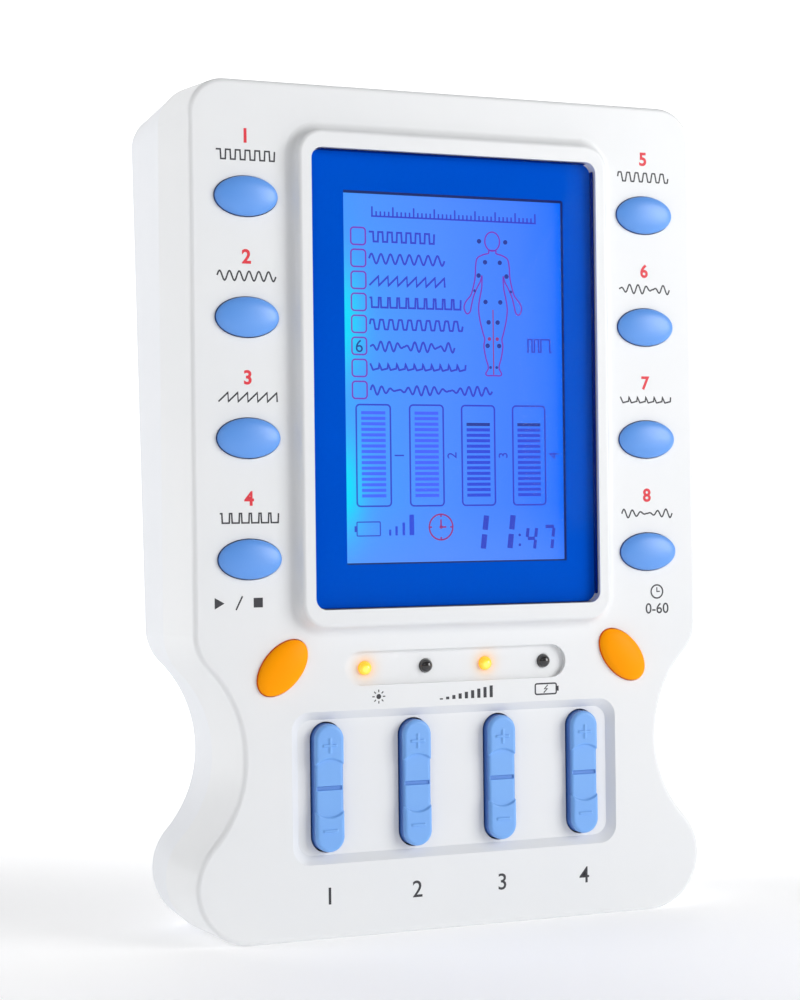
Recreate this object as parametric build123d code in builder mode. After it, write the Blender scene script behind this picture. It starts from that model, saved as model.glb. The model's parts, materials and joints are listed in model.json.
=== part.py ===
from build123d import *
import math
import os

# Four-channel muscle stimulator, standing upright on its base.
# X runs to the right seen from the front, Y runs into the case and Z runs up from the base.
# The origin is on the base, in the middle of its width.  A "depth" is measured from the front face.

# Case
half_width = 60.0
case_height = 183.0
base_depth = 34.0
top_depth = 49.0
face_y = -17.0
parting_depth = 18.0
flare = 1.5
rear_lean = 1.5
seam_step = 0.15
wall = 2.2
face_wall = 2.5
corner_radius = 8.0
shoulder_radius = 10.0
waist_radius = 27.3
waist_depth = 10.7
lobe_radius = 12.5
front_edge_radius = 1.1
rear_edge_radius = 3.5
lip_thickness = 1.0
lip_height = 1.6
lip_gap = 0.1
edge_finding = 0.01         # how near a plane an edge has to lie to be picked

# Display
display_drop = 63.2        # top of the case down to the middle of the display
lens_width = 67.3
lens_height = 98.2
lens_thickness = 1.85
lens_radius = 2.5
film_thickness = 0.15
bezel_rim = 2.8            # each side of the lens
bezel_end_rim = 3.7        # above and below the lens
bezel_draft = 0.6
bezel_cove = 2.0
bezel_height = 3.0
lens_sink = 0.5
view_width = 52.6
view_height = 80.6
view_shift = (0.45, 0.45)   # middle of the window in the printed border, across and up from the lens's
glass_width = 60.0
glass_height = 88.0
glass_thickness = 2.2
glass_depth = 1.0
guide_thickness = 3.2
tray_wall = 2.8
tray_floor = 1.0
contact_ledge = 4.6
zebra_width = 2.4
backlight_pocket = 3.5
backlight_heights = (96.0, 132.4)
lens_edge_radius = 0.25
backlight_led_height = 4.0
tray_radius = 2.0
fit_gap = 0.2

# Circuit board
board_depth = 9.0
board_thickness = 1.6
board_edge_gap = 0.6
board_screw_drop = 8.5
board_screw_low = 66.5
board_screw_side = 36.0
board_boss_radius = 2.6
board_screw_radius = 1.1
board_head_radius = 2.1
board_head_height = 1.6
thread_gap = 0.05

# Push keys
key_length = 13.9
key_height = 8.45
key_crown = 1.9
key_edge_radius = 1.8
key_gap = 0.2
key_travel = 1.0
flange_width = 1.2
flange_thickness = 1.0
flange_gap = 0.1
stem_radius = 2.2
program_margin = 12.4      # side of the case to the middle of a program key
program_drop = 24.8        # top of the case to the middle of the first program key
program_pitch = 25.55
round_key_margin = 19.4
round_key_z = 58.4
round_key_turn = 48.0

# Key mats
mat_thickness = 1.0
mat_width = 13.0
mat_gap = 0.05
mat_radius = 2.0
dome_base_radius = 5.0
dome_top_radius = 3.2
dome_wall = 1.2
pill_radius = 1.6
pill_travel = 0.8

# Channel keys
channel_xs = (-30.45, -10.15, 10.15, 30.45)
channel_z = 32.4
rocker_width = 6.6
rocker_length = 27.4
rocker_crown = 2.9
rocker_dip = 0.5
rocker_edge_radius = 0.8
rocker_pad = 7.7
rocker_gap = 0.35
rocker_tail = 0.4
panel_width = 77.4
panel_height = 32.6
panel_depth = 1.5
panel_slope = 1.8
panel_radius = 4.0
panel_wall = 2.2
pivot_setback = 1.4
pivot_radius = 1.0
pivot_length = 1.5
pivot_gap = 0.08
rib_width = 5.0
rib_gap = 0.2
foot_radius = 2.4
foot_offset = 9.0
foot_height = 2.3

# Status lights
led_xs = (-21.4, -7.13, 7.13, 21.4)
led_z = 57.6
led_radius = 1.5
led_gap = 0.08
led_tip = 0.3
led_body = 4.0
led_flange = 0.4
lead_radius = 0.25
lead_spacing = 2.54
lead_tail = 0.9
light_bar_width = 52.8
light_bar_height = 7.4
light_bar_depth = 1.2

# Sockets and switch along the top
socket_xs = (-36.0, -20.0, 20.0, 36.0)
socket_axis = 14.0
socket_width = 9.0
socket_body = 12.0
socket_nose_radius = 3.0
socket_nose_gap = 0.15
socket_proud = 0.6
socket_bore = 1.8
socket_bore_length = 12.0
inlet_x = 9.0
inlet_nose_radius = 2.4
inlet_bore = 1.3
inlet_bore_length = 10.0
switch_x = -8.0
switch_travel = 4.0
switch_width = 9.0
switch_body = 6.0
switch_thickness = 5.0
slider_width = 3.0
slider_depth = 2.4
slider_proud = 1.2
slider_gap = 0.1
slider_flange = 1.0
slider_flange_thickness = 0.7
slider_rib_count = 3
slider_rib_pitch = 0.9
slider_rib_width = 0.35
slider_rib_depth = 0.3
top_clearance = 0.35

# Case screws
middle_screw = (6.7, 69.6)   # distance in from the side, height
top_screw = (8.5, 9.0)       # distance in from the side, distance down from the top
front_boss_radius = 3.3
rear_boss_radius = 4.2
boss_clearance = 0.5
screw_radius = 1.3
screw_length = 16.0
screw_head_radius = 2.7
screw_head_height = 2.0
screw_seat_depth = 24.0
head_gap = 0.4
clearance_radius = 1.7
recess_width = 0.8
recess_span = 1.3          # length of a cross recess over its head's radius
screw_head_edge = 0.5
board_head_edge = 0.4

# Battery bay, laid out on the sloping back
cell_radius = 7.1
cell_length = 48.6
cell_cap_radius = 2.7
cell_cap_height = 1.4
cell_count = 4
cell_gap = 0.6
bay_low = 13.0
bay_spare = 6.4
bay_wall = 1.5
door_thickness = 2.4
door_lap = 2.6
door_gap = 0.3
hinge_pin_radius = 0.7
hinge_pin_length = 1.8
hinge_gap = 0.05
grip_drop = 10.0           # latch end of the door down to the middle of its grip
grip_count = 5
grip_pitch = 2.4
grip_length = 18.0
grip_width = 1.1
latch_span = 26.0
slit_width = 0.8
slit_length = 9.0
slit_drop = 4.0
contact_thickness = 0.4
contact_width = 11.0
contact_radius = 1.0
button_height = 1.0
button_radius = 2.2
spring_foot_radius = 3.6
spring_tip_radius = 2.6

# Fittings on the back
foot_pad_radius = 5.0
foot_pad_thickness = 2.0
foot_pad_sink = 0.8
foot_pad_gap = 5.5
foot_pad_low = 27.0
foot_pad_drop = 23.0
label_width = 62.0
label_height = 34.0
label_sink = 0.3
label_drop = 71.0
label_radius = 2.0
foot_pad_edge = 0.5
sound_slot_count = 4
sound_slot_pitch = 3.0
sound_slot_length = 9.0
sound_slot_width = 1.2

# Parts on the back of the board
transformer_xs = (-34.5, -11.5, 11.5, 34.5)
transformer_drop = 33.0
core_width = 14.0
core_height = 12.0
core_depth = 10.0
core_window = 0.7          # share of the core's width that the coil takes
coil_overhang = 4.0
coil_radius = 1.5
# Each chip: middle, body width and height, width over its legs, height of a row of legs, legs in a row
chips_laid = (((0.0, 118.0), 12.0, 12.0, 14.0, 14.0, 10),
              ((-20.0, 100.0), 7.6, 12.8, 10.4, 12.0, 8),
              ((20.0, 100.0), 7.6, 12.8, 10.4, 12.0, 8))
chip_thickness = 1.5
chip_lift = 0.1
chip_radius = 0.3
chip_edge = 0.2
leg_thickness = 0.4
capacitor_places = ((-40.0, 132.0), (40.0, 132.0), (40.0, 108.0))
capacitor_radius = 4.0
capacitor_height = 11.0
buzzer_place = (-38.0, 104.0)
buzzer_radius = 6.0
buzzer_height = 7.0
buzzer_edge = 0.5
buzzer_hole_radius = 1.2
buzzer_hole_depth = 1.5
capacitor_edge = 0.6

slope = (top_depth - base_depth) / case_height
waist_half = half_width - waist_depth
board_back = board_depth + board_thickness
display_z = case_height - display_drop
board_screws = ((0.0, case_height - board_screw_drop), (0.0, board_screw_low),
                (-board_screw_side, display_z), (board_screw_side, display_z))
program_x = half_width - program_margin
program_top_z = case_height - program_drop
round_key_x = half_width - round_key_margin
case_screws = ((half_width - lobe_radius, lobe_radius), (half_width - middle_screw[0], middle_screw[1]),
               (half_width - top_screw[0], case_height - top_screw[1]))
label_v = case_height - label_drop
transformer_z = case_height - transformer_drop
parts = {}


def keep(node, part):
    """Label a finished piece and remember it for export."""
    part.label = node
    parts[node] = part


def face_plane(depth):
    """A plane across the case at one depth; sketches on it are drawn as seen from the front."""
    return Plane.XZ.offset(-(face_y + depth))


def back_plane(inset):
    """A plane parallel to the sloping back; sketches on it are drawn as seen from behind."""
    back = Plane(origin=(0, face_y + base_depth, 0), x_dir=(-1, 0, 0), z_dir=(0, 1, -slope))
    return back.offset(-inset)


def case_section(depth, lean, inset):
    """The case outline at one depth: sides and top lean out by lean, then the whole is drawn in by inset."""
    lobe = (half_width + lean - lobe_radius, lobe_radius)
    waist_x = waist_half + waist_radius
    waist_reach = lobe_radius + waist_radius - lean
    waist = (waist_x, lobe[1] + math.sqrt(waist_reach ** 2 - (waist_x - lobe[0]) ** 2))
    shoulder_x = half_width - shoulder_radius
    shoulder_rise = math.sqrt((waist_radius + shoulder_radius) ** 2 - (waist_x - shoulder_x) ** 2)
    shoulder = (shoulder_x, waist[1] + shoulder_rise)
    corner = (half_width - corner_radius, case_height - corner_radius)
    lobe_end = math.degrees(math.atan2(waist[1] - lobe[1], waist[0] - lobe[0]))
    shoulder_start = math.degrees(math.atan2(waist[1] - shoulder[1], waist[0] - shoulder[0]))
    with BuildSketch(face_plane(depth)) as section:
        with BuildLine():
            lobe_arc = CenterArc(lobe, lobe_radius - inset, -90, 90 + lobe_end)
            CenterArc(waist, waist_radius - lean + inset, lobe_end + 180, shoulder_start - lobe_end)
            shoulder_arc = CenterArc(shoulder, shoulder_radius + lean - inset, shoulder_start, -shoulder_start)
            corner_arc = CenterArc(corner, corner_radius + lean - inset, 0, 90)
            Line((0, inset), lobe_arc @ 0)
            Line(shoulder_arc @ 1, corner_arc @ 0)
            Line(corner_arc @ 1, (0, case_height + lean - inset))
            mirror(about=Plane.YZ)
        make_face()
    return section.sketch


def front_block(depth, inset):
    """The front half of the case as a solid, from one depth back to the parting line."""
    lean = flare * depth / parting_depth
    with BuildPart() as block:
        loft([case_section(depth, lean, inset), case_section(parting_depth, flare, inset)], ruled=True)
    return block.part


def rear_block(inset):
    """The rear half of the case as a solid, from the parting line back to the sloping back."""
    reach = 2 * top_depth - parting_depth
    lean = rear_lean * (reach - parting_depth) / (top_depth - parting_depth)
    with BuildPart() as block:
        loft([case_section(parting_depth, flare - seam_step, inset),
              case_section(reach, flare - seam_step - lean, inset)], ruled=True)
        split(bisect_by=back_plane(inset), keep=Keep.BOTTOM)
    return block.part


def sole(depth_from, depth_to):
    """The flat part of the base between two depths, as a thin slab."""
    with BuildPart() as slab:
        with BuildSketch(Plane.XY):
            with Locations((0, face_y + (depth_from + depth_to) / 2)):
                Rectangle(2 * (half_width - lobe_radius), depth_to - depth_from)
        extrude(amount=wall / 2)
    return slab.part


def ellipse_sketch(depth, x, z, turn, grow):
    """An oval key outline at one depth, grown outwards by grow."""
    with BuildSketch(face_plane(depth)) as oval:
        with Locations((x, z)):
            Ellipse(key_length / 2 + grow, key_height / 2 + grow, rotation=turn)
    return oval.sketch


def disc(depth, places, radius):
    """Round outlines of one radius at one depth."""
    with BuildSketch(face_plane(depth)) as discs:
        with Locations(*places):
            Circle(radius)
    return discs.sketch


def box_sketch(depth, x, z, width, height, radius=0.0):
    """A rectangle at one depth, with rounded corners when a radius is given."""
    with BuildSketch(face_plane(depth)) as sketch:
        with Locations((x, z)):
            if radius:
                RectangleRounded(width, height, radius)
            else:
                Rectangle(width, height)
    return sketch.sketch


push_keys = {}
for row in range(4):
    push_keys[f"program_key_{row + 1}"] = (-program_x, program_top_z - row * program_pitch, 0)
    push_keys[f"program_key_{row + 5}"] = (program_x, program_top_z - row * program_pitch, 0)
push_keys["start_stop_key"] = (-round_key_x, round_key_z, round_key_turn)
push_keys["timer_key"] = (round_key_x, round_key_z, -round_key_turn)
screw_places = [(side * x, z) for side in (-1, 1) for x, z in case_screws]
bezel_width = lens_width + 2 * (fit_gap + bezel_rim)
bezel_length = lens_height + 2 * (fit_gap + bezel_end_rim)
window_width = glass_width + 2 * fit_gap
window_height = glass_height + 2 * fit_gap
lens_seat = -bezel_height + lens_sink + lens_thickness + film_thickness
pivot_depth = panel_depth + panel_wall + pivot_setback
rib_end = pivot_depth + pivot_radius + pivot_setback / 2
top_z = case_height + flare * socket_axis / parting_depth
inner_top_z = case_height + flare * (socket_axis - socket_nose_radius) / parting_depth - wall - top_clearance
cell_pitch = 2 * cell_radius + cell_gap
bay_width = cell_count * cell_pitch + cell_gap
bay_length = cell_length + cell_cap_height + bay_spare
bay_depth = door_thickness + door_gap + 2 * cell_radius + cell_gap
bay_v = bay_low + bay_length / 2
door_width = bay_width + 2 * door_lap
foot_pad_x = door_width / 2 + foot_pad_gap + foot_pad_radius
foot_pads = ((foot_pad_x, foot_pad_low),
             (foot_pad_x, case_height - foot_pad_drop))
door_length = bay_length + 2 * door_lap
hinge_inset = door_thickness / 2
hinge_v = bay_v - door_length / 2 + hinge_inset
guide_depth = glass_depth + glass_thickness
guide_low = display_z - glass_height / 2 + contact_ledge
guide_height = glass_height - contact_ledge


def bezel_foot(front):
    """The ring of edges where the bezel's wall meets the face."""
    reach_x = bezel_width / 2 + 2 * bezel_draft
    reach_z = bezel_length / 2 + 2 * bezel_draft
    at_face = front.edges().filter_by_position(Axis.Y, face_y - edge_finding, face_y + edge_finding)
    near = at_face.filter_by_position(Axis.X, -reach_x, reach_x)
    return near.filter_by_position(Axis.Z, display_z - reach_z, display_z + reach_z)


def make_front_case():
    """Front shell with the raised bezel, key openings, key panel, bosses and the joining lip."""
    with BuildPart() as front:
        add(front_block(0.0, 0.0))
        face_edges = front.edges().filter_by_position(Axis.Y, face_y - edge_finding, face_y + edge_finding)
        fillet(face_edges, front_edge_radius)
        loft([box_sketch(0.0, 0, display_z, bezel_width + 2 * bezel_draft, bezel_length + 2 * bezel_draft,
                         lens_radius + bezel_rim + bezel_draft),
              box_sketch(-bezel_height, 0, display_z, bezel_width, bezel_length, lens_radius + bezel_rim)],
             ruled=True)
        fillet(front.faces().sort_by(Axis.Y)[0].edges(), bezel_rim / 3)
        fillet(bezel_foot(front), bezel_cove)
        # The middle of the base is relaid as a true plane for the unit to stand on
        add(sole(front_edge_radius, parting_depth), mode=Mode.SUBTRACT)
        add(sole(front_edge_radius, parting_depth))
        add(front_block(face_wall, wall), mode=Mode.SUBTRACT)
        # Lip that locates the rear case
        lip_outer = case_section(parting_depth + lip_height, flare, wall - lip_thickness)
        lip_inner = case_section(parting_depth + lip_height, flare, wall)
        extrude(lip_outer - lip_inner, amount=lip_height)
        # Thicker floors behind the key panel and the light bar
        panel_back = panel_depth + panel_wall
        extrude(box_sketch(panel_back, 0, channel_z, panel_width + wall, panel_height + wall, panel_radius),
                amount=panel_back - face_wall / 2)
        extrude(box_sketch(light_bar_depth + face_wall, 0, led_z, light_bar_width + wall,
                           light_bar_height + wall, lens_radius), amount=light_bar_depth + face_wall / 2)
        # Bosses for the case screws and the board screws
        extrude(disc(parting_depth, screw_places, front_boss_radius), amount=parting_depth - face_wall / 2)
        extrude(disc(board_depth, board_screws, board_boss_radius), amount=board_depth - face_wall / 2)
        # Ribs that carry the channel keys' pivots, with slots that are open to the rear
        for x in channel_xs:
            for side in (-1, 1):
                rib_x = x + side * (rocker_width / 2 + rib_gap + pivot_length / 2)
                extrude(box_sketch(rib_end, rib_x, channel_z, pivot_length, rib_width),
                        amount=rib_end - panel_depth - panel_wall / 2)
        # Key panel, light bar and lens pocket
        loft([box_sketch(0.0, 0, channel_z, panel_width, panel_height, panel_radius),
              box_sketch(panel_depth, 0, channel_z, panel_width - 2 * panel_slope,
                         panel_height - 2 * panel_slope, panel_radius - panel_slope / 2)],
             ruled=True, mode=Mode.SUBTRACT)
        with BuildSketch(face_plane(light_bar_depth)):
            with Locations((0, led_z)):
                SlotOverall(light_bar_width, light_bar_height)
        extrude(amount=light_bar_depth, mode=Mode.SUBTRACT)
        extrude(box_sketch(lens_seat, 0, display_z, lens_width + 2 * fit_gap, lens_height + 2 * fit_gap,
                           lens_radius), amount=bezel_height, mode=Mode.SUBTRACT)
        extrude(box_sketch(face_wall + 1, 0, display_z, window_width, window_height), amount=face_wall + 3,
                mode=Mode.SUBTRACT)
        # Openings for keys and lights
        for x, z, turn in push_keys.values():
            extrude(ellipse_sketch(face_wall, x, z, turn, key_gap), amount=face_wall, mode=Mode.SUBTRACT)
        with BuildSketch(face_plane(panel_back)):
            with Locations(*[(x, channel_z) for x in channel_xs]):
                SlotOverall(rocker_length + 2 * rocker_gap, rocker_width + 2 * rocker_gap, rotation=90)
        extrude(amount=panel_back, mode=Mode.SUBTRACT)
        extrude(disc(light_bar_depth + face_wall, [(x, led_z) for x in led_xs], led_radius + led_gap),
                amount=face_wall, mode=Mode.SUBTRACT)
        with BuildSketch(Plane.YZ.offset(-panel_width / 2)):
            slot_end = face_y + rib_end
            with Locations((face_y + pivot_depth, channel_z)):
                Circle(pivot_radius + pivot_gap)
            with Locations((slot_end, channel_z)):
                Rectangle(2 * (slot_end - face_y - pivot_depth), 2 * (pivot_radius + pivot_gap))
        extrude(amount=panel_width, mode=Mode.SUBTRACT)
        # Screw pilots
        extrude(disc(parting_depth, screw_places, screw_radius + thread_gap),
                amount=parting_depth - 2 * face_wall, mode=Mode.SUBTRACT)
        extrude(disc(board_depth, board_screws, board_screw_radius + thread_gap),
                amount=board_depth - 2 * face_wall, mode=Mode.SUBTRACT)
        # Openings in the top for the sockets, the charger inlet and the power slider
        with BuildSketch(Plane.XY.offset(top_z - 2 * wall)):
            with Locations(*[(x, face_y + socket_axis) for x in socket_xs]):
                Circle(socket_nose_radius + socket_nose_gap)
            with Locations((inlet_x, face_y + socket_axis)):
                Circle(inlet_nose_radius + socket_nose_gap)
            with Locations((switch_x, face_y + socket_axis)):
                Rectangle(slider_width + switch_travel + 2 * slider_gap, slider_depth + 2 * slider_gap)
        extrude(amount=4 * wall, mode=Mode.SUBTRACT)
    keep("front_case", front.part)


def make_rear_case():
    """Rear shell with screw wells, the battery bay, foot pockets and a blank label recess."""
    bay_outer = bay_width + 2 * bay_wall
    with BuildPart() as rear:
        add(rear_block(0.0))
        back_edges = rear.faces().sort_by(Axis.Y)[-1].edges()
        fillet(back_edges, rear_edge_radius)
        add(sole(parting_depth, base_depth - rear_edge_radius), mode=Mode.SUBTRACT)
        add(sole(parting_depth, base_depth - rear_edge_radius))
        with BuildPart(mode=Mode.PRIVATE) as hollow:
            add(rear_block(wall))
            for x, z in screw_places:
                extrude(disc(2 * top_depth, [(x, z)], rear_boss_radius),
                        amount=2 * top_depth - parting_depth, mode=Mode.SUBTRACT)
            # Solid left standing round the door pocket and the bay
            with BuildSketch(back_plane(0)):
                with Locations((0, bay_v)):
                    Rectangle(door_width + 4 * bay_wall, door_length + 4 * bay_wall)
            extrude(amount=-(door_thickness + door_gap + bay_wall), mode=Mode.SUBTRACT)
            with BuildSketch(back_plane(0)):
                with Locations((0, bay_v)):
                    Rectangle(bay_outer, bay_length + 2 * bay_wall)
            extrude(amount=-(bay_depth + bay_wall), mode=Mode.SUBTRACT)
        add(hollow.part, mode=Mode.SUBTRACT)
        # The bay reaches past the parting line, into the front half
        with BuildSketch(back_plane(bay_depth + bay_wall)):
            with Locations((0, bay_v)):
                Rectangle(bay_outer, bay_length + 2 * bay_wall)
        extrude(amount=bay_depth - door_thickness)
        with BuildSketch(back_plane(bay_depth)):
            with Locations((0, bay_v)):
                Rectangle(bay_width, bay_length)
        extrude(amount=bay_depth + bay_wall, mode=Mode.SUBTRACT)
        with BuildSketch(back_plane(door_thickness + door_gap / 3)):
            with Locations((0, bay_v)):
                Rectangle(door_width + 2 * door_gap, door_length + 2 * door_gap)
        extrude(amount=door_thickness + bay_wall, mode=Mode.SUBTRACT)
        hinge_reach = door_width + 2 * (door_gap + hinge_pin_length)
        with BuildSketch(Plane(origin=hinge_point(), x_dir=(0, 1, 0), z_dir=(1, 0, 0))):
            Circle(hinge_pin_radius + hinge_gap)
        extrude(amount=hinge_reach / 2, both=True, mode=Mode.SUBTRACT)
        # Groove for the front case's lip
        groove_depth = parting_depth + lip_height + lip_gap
        extrude(case_section(groove_depth, flare, wall - lip_thickness - lip_gap)
                - case_section(groove_depth, flare, wall + lip_gap), amount=lip_height + lip_gap,
                mode=Mode.SUBTRACT)
        # Screw wells and clearance holes
        extrude(disc(2 * top_depth, screw_places, screw_head_radius + head_gap),
                amount=2 * top_depth - screw_seat_depth, mode=Mode.SUBTRACT)
        extrude(disc(screw_seat_depth, screw_places, clearance_radius), amount=screw_seat_depth - parting_depth,
                mode=Mode.SUBTRACT)
        # Foot pockets, blank label recess and sound slots
        with BuildSketch(back_plane(foot_pad_sink)):
            with Locations(*[(side * x, v) for side in (-1, 1) for x, v in foot_pads]):
                Circle(foot_pad_radius + fit_gap)
        extrude(amount=2 * foot_pad_sink, mode=Mode.SUBTRACT)
        with BuildSketch(back_plane(label_sink)):
            with Locations((0, label_v)):
                RectangleRounded(label_width, label_height, label_radius)
        extrude(amount=2 * label_sink, mode=Mode.SUBTRACT)
        with BuildSketch(back_plane(2 * wall)):
            with Locations((-buzzer_place[0], buzzer_place[1])):
                with GridLocations(0, sound_slot_pitch, 1, sound_slot_count):
                    SlotOverall(sound_slot_length, sound_slot_width)
        extrude(amount=3 * wall, mode=Mode.SUBTRACT)
    keep("rear_case", rear.part)


def hinge_point():
    """A point on the battery door's hinge line."""
    return back_plane(hinge_inset).from_local_coords((0, hinge_v, 0))


def make_battery_door():
    """Door over the cells, with a rounded lower edge that turns on two end pins and a thumb grip."""
    with BuildPart() as door:
        with BuildSketch(back_plane(0)):
            with Locations((0, bay_v + hinge_inset / 2)):
                Rectangle(door_width, door_length - hinge_inset)
        extrude(amount=-door_thickness)
        with BuildSketch(Plane(origin=hinge_point(), x_dir=(0, 1, 0), z_dir=(1, 0, 0))) as edge:
            Circle(hinge_inset)
        extrude(amount=door_width / 2, both=True)
        with BuildSketch(Plane(origin=hinge_point(), x_dir=(0, 1, 0), z_dir=(1, 0, 0))):
            Circle(hinge_pin_radius)
        extrude(amount=door_width / 2 + door_gap + hinge_pin_length - hinge_gap, both=True)
        with BuildSketch(back_plane(0)):
            with Locations((0, bay_v + door_length / 2 - grip_drop)):
                with GridLocations(0, grip_pitch, 1, grip_count):
                    SlotOverall(grip_length, grip_width)
        extrude(amount=-door_thickness / 5, mode=Mode.SUBTRACT)
        # Slits that let the latch end of the door flex
        with BuildSketch(back_plane(0)):
            with Locations((0, bay_v + door_length / 2 - slit_drop)):
                with GridLocations(latch_span, 0, 2, 1):
                    Rectangle(slit_width, slit_length)
        extrude(amount=-door_thickness, mode=Mode.SUBTRACT)
    keep("battery_door", door.part)


def bay_lane(x, v):
    """A plane across one lane of the battery bay, facing up along the back."""
    lanes = back_plane(door_thickness + door_gap + cell_gap / 2 + cell_radius)
    return Plane(origin=lanes.from_local_coords((x, v, 0)), x_dir=lanes.x_dir, z_dir=lanes.y_dir)


def bay_round(x, v, radius, height, top_radius=None):
    """A cylinder or cone standing in one lane of the bay, added to the piece that is being built."""
    with BuildSketch(bay_lane(x, v)) as foot:
        Circle(radius)
    with BuildSketch(bay_lane(x, v + height)) as head:
        Circle(top_radius or radius)
    loft([foot.sketch, head.sketch], clean=False)


def make_cells():
    """Round cells side by side, each next one turned end for end, with contact plates and springs."""
    lanes = [(place - (cell_count - 1) / 2) * cell_pitch for place in range(cell_count)]
    plate_low = bay_low + contact_thickness
    plate_high = bay_low + bay_length - contact_thickness
    spring_height = bay_spare - 2 * contact_thickness - button_height
    with BuildPart() as cells:
        for place, x in enumerate(lanes):
            if place % 2:
                bay_round(x, plate_low + button_height, cell_cap_radius, cell_cap_height)
                bay_round(x, plate_low + button_height + cell_cap_height, cell_radius, cell_length)
            else:
                bay_round(x, plate_low + spring_height, cell_radius, cell_length)
                bay_round(x, plate_low + spring_height + cell_length, cell_cap_radius, cell_cap_height)
    keep("battery_cells", cells.part)
    with BuildPart() as contacts:
        for place, x in enumerate(lanes):
            for v in (bay_low, plate_high):
                with BuildSketch(bay_lane(x, v)):
                    RectangleRounded(contact_width, contact_width, contact_radius)
                extrude(amount=contact_thickness)
            if place % 2:
                bay_round(x, plate_low, button_radius, button_height)
                bay_round(x, plate_high - spring_height, spring_tip_radius, spring_height, spring_foot_radius)
            else:
                bay_round(x, plate_low, spring_foot_radius, spring_height, spring_tip_radius)
                bay_round(x, plate_high - button_height, button_radius, button_height)
    keep("battery_contacts", contacts.part)


def make_display():
    """Lens, printed lens border, LCD glass, its backlight and tray, and the zebra strip."""
    lens_back = lens_seat - film_thickness
    with BuildPart() as lens:
        extrude(box_sketch(lens_back, 0, display_z, lens_width, lens_height, lens_radius),
                amount=lens_thickness)
        fillet(lens.faces().sort_by(Axis.Y)[0].edges(), lens_edge_radius)
    keep("display_lens", lens.part)
    with BuildPart() as border:
        extrude(box_sketch(lens_seat, 0, display_z, lens_width, lens_height, lens_radius)
                - box_sketch(lens_seat, view_shift[0], display_z + view_shift[1], view_width, view_height),
                amount=film_thickness)
    keep("lens_border", border.part)
    with BuildPart() as glass:
        extrude(box_sketch(guide_depth, 0, display_z, glass_width, glass_height), amount=glass_thickness)
    keep("lcd_glass", glass.part)
    guide_z = guide_low + guide_height / 2
    guide_back = guide_depth + guide_thickness
    with BuildPart() as guide:
        extrude(box_sketch(guide_back, backlight_pocket / 2, guide_z, glass_width - backlight_pocket,
                           guide_height), amount=guide_thickness)
    keep("backlight_guide", guide.part)
    light_x = (backlight_pocket - glass_width) / 2
    with BuildPart() as lights:
        for z in backlight_heights:
            extrude(box_sketch(guide_back, light_x, z, backlight_pocket - 2 * fit_gap,
                               backlight_led_height),
                    amount=guide_thickness - fit_gap)
    keep("backlight_leds", lights.part)
    zebra_z = display_z - glass_height / 2 + contact_ledge / 2
    with BuildPart() as tray:
        extrude(box_sketch(board_depth, 0, display_z, window_width + 2 * tray_wall,
                           window_height + 2 * tray_wall, tray_radius), amount=board_depth - face_wall)
        extrude(box_sketch(guide_back, 0, display_z, window_width, window_height),
                amount=guide_back - face_wall, mode=Mode.SUBTRACT)
        extrude(box_sketch(board_depth, 0, display_z, window_width, window_height),
                amount=board_depth - guide_back - tray_floor, mode=Mode.SUBTRACT)
        extrude(box_sketch(board_depth, 0, zebra_z, view_width + 2 * fit_gap, zebra_width + 2 * fit_gap),
                amount=board_depth - face_wall, mode=Mode.SUBTRACT)
    keep("lcd_tray", tray.part)
    with BuildPart() as zebra:
        extrude(box_sketch(board_depth, 0, zebra_z, view_width, zebra_width), amount=board_depth - guide_depth)
    keep("zebra_strip", zebra.part)


def make_board():
    """Main circuit board, cut to the case outline, with holes for bosses, screws and light leads."""
    lead_places = [(x + side * lead_spacing / 2, led_z) for x in led_xs for side in (-1, 1)]
    edge = wall + board_edge_gap
    with BuildPart() as board:
        extrude(case_section(board_back, 0, edge), amount=board_thickness)
        extrude(disc(board_back, screw_places, front_boss_radius + boss_clearance), amount=board_thickness,
                mode=Mode.SUBTRACT)
        extrude(disc(board_back, board_screws, board_screw_radius + fit_gap), amount=board_thickness,
                mode=Mode.SUBTRACT)
        extrude(disc(board_back, lead_places, lead_radius + led_gap), amount=board_thickness,
                mode=Mode.SUBTRACT)
    keep("main_board", board.part)
    with BuildPart() as leads:
        lead_start = led_body + light_bar_depth
        extrude(disc(board_back + lead_tail, lead_places, lead_radius),
                amount=board_back + lead_tail - lead_start - led_flange * 2)
    keep("led_leads", leads.part)
    for number, x in enumerate(led_xs, start=1):
        with BuildPart() as led:
            extrude(disc(light_bar_depth + led_body, [(x, led_z)], led_radius),
                    amount=led_tip + light_bar_depth + led_body)
            fillet(led.faces().sort_by(Axis.Y)[0].edges(), led_radius * 0.98)
            extrude(disc(light_bar_depth + led_body + 2 * led_flange, [(x, led_z)], led_radius + led_flange),
                    amount=2 * led_flange)
        keep(f"status_led_{number}", led.part)


def make_push_keys():
    """Domed oval keys, each with a flange behind the face and a stem down to its key mat."""
    stem_end = dome_top_depth() - mat_gap
    flange_front = face_wall + flange_gap
    flange_back = flange_front + flange_thickness
    for node, (x, z, turn) in push_keys.items():
        with BuildPart() as key:
            extrude(ellipse_sketch(flange_front, x, z, turn, 0), amount=flange_front + key_crown)
            fillet(key.faces().sort_by(Axis.Y)[0].edges(), key_edge_radius)
            extrude(ellipse_sketch(flange_back, x, z, turn, flange_width), amount=flange_thickness)
            extrude(disc(stem_end, [(x, z)], stem_radius), amount=stem_end - flange_back)
        keep(node, key.part)


def dome_top_depth():
    """Depth of the top of a push key's rubber dome."""
    return face_wall + flange_gap + flange_thickness + 2 * key_travel


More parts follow.
